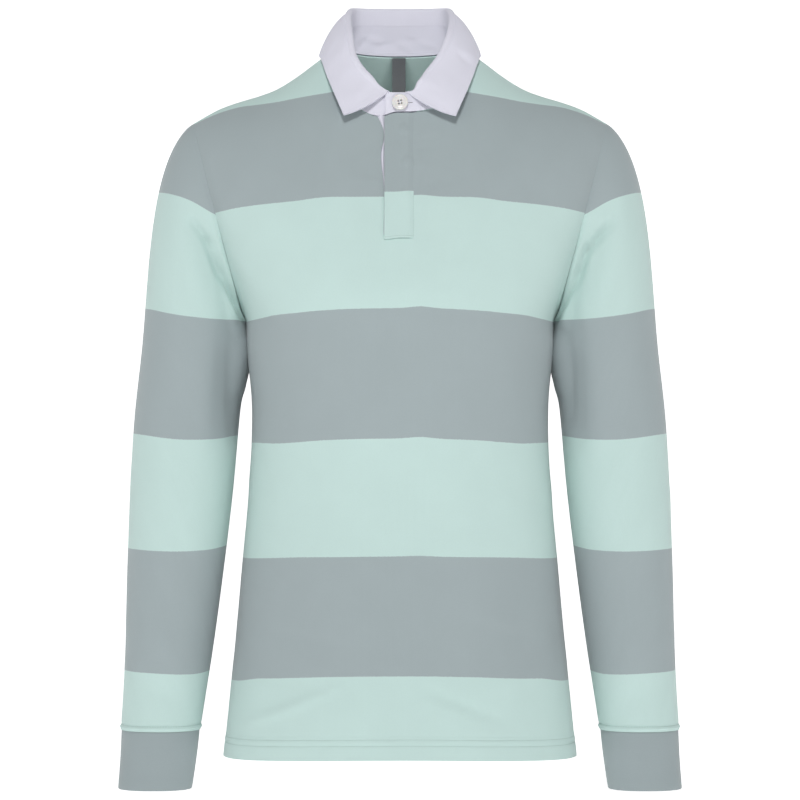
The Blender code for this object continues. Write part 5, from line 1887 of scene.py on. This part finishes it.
def stitch_row(line, facing, pitch):
    """Points, directions and facings of a row of stitches along a line."""
    steps = np.linalg.norm(np.diff(line, axis=0), axis=1)
    length = np.concatenate(([0.0], np.cumsum(steps)))
    count = max(int(length[-1] / pitch), 1)
    goals = (np.arange(count) + 0.5) * length[-1] / count
    ahead = along_line(goals + pitch / 4, length, line)
    behind = along_line(goals - pitch / 4, length, line)
    turned = along_line(goals, length, facing)
    return along_line(goals, length, line), unit(ahead - behind), unit(turned)


def sew(name, rows, finish, pitch, grain, thickness, lift):
    """One piece of thread made of many rows of stitches."""
    found = [stitch_row(line, facing, pitch) for line, facing in rows]
    points = np.concatenate([row[0] for row in found])
    along = np.concatenate([row[1] for row in found])
    facing = np.concatenate([row[2] for row in found])
    points = points + facing * lift
    mesh = bpy.data.meshes.new(name + "_seam")
    mesh.from_pydata(points.tolist(), [], [])
    for label, values in (("along", along), ("facing", facing)):
        layer = mesh.attributes.new(label, "FLOAT_VECTOR", "POINT")
        layer.data.foreach_set("vector", values.astype(np.float32).reshape(-1))
    seam = bpy.data.objects.new(name + "_seam", mesh)
    bpy.context.scene.collection.objects.link(seam)
    modifier = seam.modifiers.new("stitches", "NODES")
    tree = stitch_tree(name + "_tree", finish)
    modifier.node_group = tree
    wanted = {"Length": grain, "Thickness": thickness}
    for item in tree.interface.items_tree:
        if item.in_out == "INPUT" and item.name in wanted:
            modifier[item.identifier] = wanted[item.name]
    bpy.context.view_layer.update()
    thread = evaluated_copy(seam, name)
    seam.modifiers.clear()
    bpy.data.objects.remove(seam, do_unlink=True)
    thread.data.shade_smooth()
    print(name, len(points), "stitches")
    return thread


# The mint thread is darker than the cloth. This is partly the thread's own tone and partly painted
# shade for the grooves the stitches sink into.
mint_thread_and_groove_shade = thread_finish("mint_thread_and_groove_shade", (0.30, 0.42, 0.39), (0.40, 0.54, 0.50))
white_thread = thread_finish("white_thread", (0.70, 0.70, 0.77), (0.82, 0.82, 0.88))

# %% [markdown]
# A hem on knitwear is sewn with a twin needle: two rows six millimetres
# apart. Both hems, the shoulder seams and the row above each cuff seam share
# one thread. The rows are read from the cloth at a distance from its edge.

# %% Hem, shoulder and sleeve stitches
STITCH_PITCH = 0.0026
STITCH_GRAIN = 0.0021
STITCH_THICK = 0.00042
STITCH_LIFT = 0.00004
SHOULDER_ROW = 0.0022


def row_from_edge(points, normals, distance, from_end=False, closed=False):
    """A line across a grid at a distance from its first or last row."""
    if from_end:
        points = points[::-1]
        normals = normals[::-1]
    length = path_length(points, 0)
    columns = points.shape[1]
    goal = [distance]
    line = np.array([along_line(goal, length[:, c], points[:, c])[0] for c in range(columns)])
    facing = np.array([along_line(goal, length[:, c], normals[:, c])[0] for c in range(columns)])
    if closed:
        line = np.concatenate((line, line[:1]))
        facing = np.concatenate((facing, facing[:1]))
    return line, facing


body_rows = []
for distance in HEM_ROWS:
    body_rows.append(row_from_edge(front_points, front_normals, distance))
    body_rows.append(row_from_edge(back_points, back_normals, distance))
shoulder_line, shoulder_facing = row_from_edge(
    back_points, back_normals, SHOULDER_ROW, from_end=True,
)
body_rows.append((shoulder_line[:SHOULDER_CELLS + 1], shoulder_facing[:SHOULDER_CELLS + 1]))
body_rows.append((shoulder_line[-SHOULDER_CELLS - 1:], shoulder_facing[-SHOULDER_CELLS - 1:]))
for points, normals in (
    (sleeve_left_points, sleeve_left_normals), (sleeve_right_points, sleeve_right_normals),
):
    body_rows.append(
        row_from_edge(points, normals, CUFF_STITCH_UP, from_end=True, closed=True),
    )
body_stitches = sew(
    "body_stitches", body_rows, mint_thread_and_groove_shade, STITCH_PITCH, STITCH_GRAIN, STITCH_THICK, STITCH_LIFT,
)

# %% [markdown]
# The white pieces have white thread. Two close rows hold the stand to the
# body, and one row follows the leaf five millimetres inside its edge. The
# placket is sewn in mint thread, across its foot and up its right side, where
# the row shows only on the mint band.

# %% Collar and placket stitches
STAND_ROWS = (0.0019, 0.0040)
LEAF_ROW = 0.0050
PLACKET_ROW = 0.0020
PLACKET_ROW_TOP = -0.1440
FINE_PITCH = 0.0022
FINE_GRAIN = 0.0018
FINE_THICK = 0.00034
FINE_LIFT = 0.00003
LEAF_ROW_SKIP = 3


def side_line(points, normals, distance, last=False):
    """A line up one side of a grid, at a distance inside its edge."""
    turned = points.transpose(1, 0, 2)
    facings = normals.transpose(1, 0, 2)
    return row_from_edge(turned, facings, distance, from_end=last)


collar_rows = []
for distance in STAND_ROWS:
    collar_rows.append(row_from_edge(stand_outer, stand_normals, distance))
    line, facing = row_from_edge(stand_outer, stand_normals, distance)
    collar_rows.append((line - facing * WALL, -facing))
leaf_edge, leaf_edge_facing = row_from_edge(leaf_points, leaf_normals, LEAF_ROW, from_end=True)
inset = LEAF_ROW / np.linalg.norm(np.diff(leaf_edge, axis=0), axis=1)[0]
middle = slice(int(round(inset)), leaf_edge.shape[0] - int(round(inset)))
collar_rows.append((leaf_edge[middle], leaf_edge_facing[middle]))
keep = slice(RISE_CELLS + ROLL_CELLS + LEAF_ROW_SKIP, -LEAF_ROW_SKIP)
for last in (False, True):
    line, facing = side_line(leaf_points, leaf_normals, LEAF_ROW, last=last)
    collar_rows.append((line[keep], facing[keep]))
collar_stitches = sew(
    "collar_stitches", collar_rows, white_thread, FINE_PITCH, FINE_GRAIN, FINE_THICK, FINE_LIFT,
)
line, facing = side_line(placket_outer, placket_facing, PLACKET_ROW, last=True)
low = line[:, 2] < PLACKET_ROW_TOP
placket_rows = [
    (line[low], facing[low]),
    row_from_edge(placket_outer, placket_facing, PLACKET_ROW),
]
placket_stitches = sew(
    "placket_stitches", placket_rows, mint_thread_and_groove_shade, FINE_PITCH, FINE_GRAIN, FINE_THICK, FINE_LIFT,
)

# %% [markdown]
# The buttonhole is a slit bound with close stitches, and it lies level in the
# stand. Only the part beyond the button shows. A thin near-black sheet down
# its middle is painted shadow for the gap of the slit. Thread also crosses
# between the button's four holes.

# %% Buttonhole and button thread
HOLE_X = (-0.0030, 0.0124)
HOLE_HALF = 0.0011
HOLE_PITCH = 0.00055
HOLE_CLEAR = 0.0002
HOLE_STITCH = {"pitch": 0.0009, "grain": 0.0010, "thickness": 0.00042, "lift": 0.00006}
CROSS_STITCH = {"pitch": 0.0045, "grain": 0.0046, "thickness": 0.00042, "lift": 0.00002}
CROSS_APART = 0.00022
CROSS_RISE = 0.0023
SLIT_COLUMNS = 24
SLIT_HALF = 0.00022
SLIT_LIFT = 0.00006
SLIT_WALL = 0.00012
SLIT_SHADOW_TONE = (0.10, 0.10, 0.11)
SLIT_PITCH = 0.0004


def stand_front(x, z):
    """A point and facing on the overlap end of the stand."""
    columns = stand_outer[:, -2 * LAP_CELLS:]
    facings = stand_normals[:, -2 * LAP_CELLS:]
    away = (columns[..., 0] - x) ** 2 + (columns[..., 2] - z) ** 2
    row, column = np.unravel_index(np.argmin(away), away.shape)
    point = columns[row, column].copy()
    facing = facings[row, column]
    point[1] += -(facing[0] * (x - point[0]) + facing[2] * (z - point[2])) / facing[1]
    point[0] = x
    point[2] = z
    return point, facing


hole_rows = []
for x in np.arange(HOLE_X[0], HOLE_X[1], HOLE_PITCH):
    for low, high in ((-HOLE_HALF, -HOLE_CLEAR), (HOLE_CLEAR, HOLE_HALF)):
        pair = [stand_front(x, BUTTON_Z + z) for z in (low, high)]
        hole_rows.append((np.array([p for p, _ in pair]), np.array([f for _, f in pair])))
buttonhole = sew("buttonhole", hole_rows, white_thread, **HOLE_STITCH)
seat, facing = button_place()
right = np.array((1.0, 0.0, 0.0))
upward = np.cross(right, facing)
cross_rows = []
for number in (0, 1):
    ends = []
    for corner in (number, number + 2):
        out, rise = hole_place(corner)
        ends.append(seat + facing * (BUTTON_SHANK + CROSS_RISE) + right * out + upward * rise)
    for side in (-CROSS_APART, CROSS_APART):
        shift = np.cross(facing, unit(ends[1] - ends[0])) * side
        cross_rows.append((np.array(ends) + shift, np.array((facing, facing))))
# A thin near-black sheet down the buttonhole is painted shadow for the gap of the slit.
slit_x = np.linspace(HOLE_X[0], HOLE_X[1], SLIT_COLUMNS)
slit_rows = []
for z in (-SLIT_HALF, 0.0, SLIT_HALF):
    found = [stand_front(x, BUTTON_Z + z) for x in slit_x]
    slit_rows.append([point + facing * SLIT_LIFT for point, facing in found])
slit_shadow_outer = np.array(slit_rows)
slit_shadow_back = slit_shadow_outer + np.array((0.0, SLIT_WALL, 0.0))
slit_shadow_finish = weave_finish(
    "slit_shadow", SLIT_SHADOW_TONE, SLIT_PITCH, strength=0.1, sheen=0.0, roughness=0.9,
)
buttonhole_slit_shadow = cloth_wall(
    "buttonhole_slit_shadow", slit_shadow_outer, slit_shadow_back, slit_shadow_finish,
    cloth_maps(slit_shadow_outer, np.zeros(slit_shadow_outer.shape[:2])),
)
button_thread = sew("button_thread", cross_rows, white_thread, **CROSS_STITCH)

# %% [markdown]
# Each new piece now takes the place of its imported node and rides on the
# shirt's one body. A second table lists each cloth piece with the flat size
# it was cut to, and the area that each one hangs as is printed.

# %% Hand the pieces to the frame
PIECES = (
    (front_cloth, "front", "mint"),
    (back_cloth, "back", "mint"),
    (sleeve_left, "sleeve_left", "mint"),
    (sleeve_right, "sleeve_right", "mint"),
    (placket_cloth, "placket", "mint"),
    (cuff_left, "cuff_left", "grey"),
    (cuff_right, "cuff_right", "grey"),
    (leaf_cloth, "collar_leaf", "white"),
    (stand_cloth, "collar_stand", "white"),
    (under_cloth, "under_placket", "white"),
    (button, "button", "shell"),
    (label_cloth, "neck_label", "dark"),
)
for piece, node, slot in PIECES:
    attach(piece, "root")
    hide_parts(node)
for thread, slot in (
    (body_stitches, "mint"), (placket_stitches, "mint"), (collar_stitches, "white"),
    (buttonhole, "white"), (button_thread, "white"), (buttonhole_slit_shadow, "white"),
):
    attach(thread, "root")


def cloth_area(points, around=False, removed=None):
    """Area of one face of a cloth grid."""
    if around:
        points = np.concatenate((points, points[:, :1]), axis=1)
    across = points[:-1, 1:] - points[:-1, :-1]
    along = points[1:, :-1] - points[:-1, :-1]
    cells = np.linalg.norm(np.cross(across, along), axis=-1)
    if removed is not None:
        cells = np.where(removed, 0.0, cells)
    return float(cells.sum())


SHEETS = (
    (front_cloth, front_points, False, (0.500, 0.745), 0.292, "hung", ["collar_stand"]),
    (back_cloth, back_points, False, (0.515, 0.778), 0.312, "hung", ["collar_stand"]),
    (sleeve_left, sleeve_left_points, True, (0.400, 0.616), 0.1665, "hung", ["front"]),
    (sleeve_right, sleeve_right_points, True, (0.400, 0.616), 0.1665, "hung", ["front"]),
    (placket_cloth, placket_outer, False, (0.031, 0.136), None, "laid", ["front"]),
    (under_cloth, under_outer, False, (0.044, 0.143), None, "laid", ["front"]),
    (stand_cloth, stand_outer, False, (0.440, 0.035), 0.0107, "folded", ["front"]),
    (leaf_cloth, leaf_points, False, (0.497, 0.089), 0.0301, "folded", ["collar_stand"]),
    (cuff_left, cuff_left_points, True, (0.238, 0.059), None, "hung", ["sleeve_left"]),
    (cuff_right, cuff_right_points, True, (0.238, 0.059), None, "hung", ["sleeve_right"]),
    (label_cloth, label_outer, False, (0.0136, 0.046), None, "hung", ["collar_stand"]),
)
for piece, points, around, flat, area, held, rests_on in SHEETS:
    removed = slit_cells() if piece is front_cloth else None
    print(piece.name, "hangs as", round(cloth_area(points, around, removed), 4), "m2 of cloth")
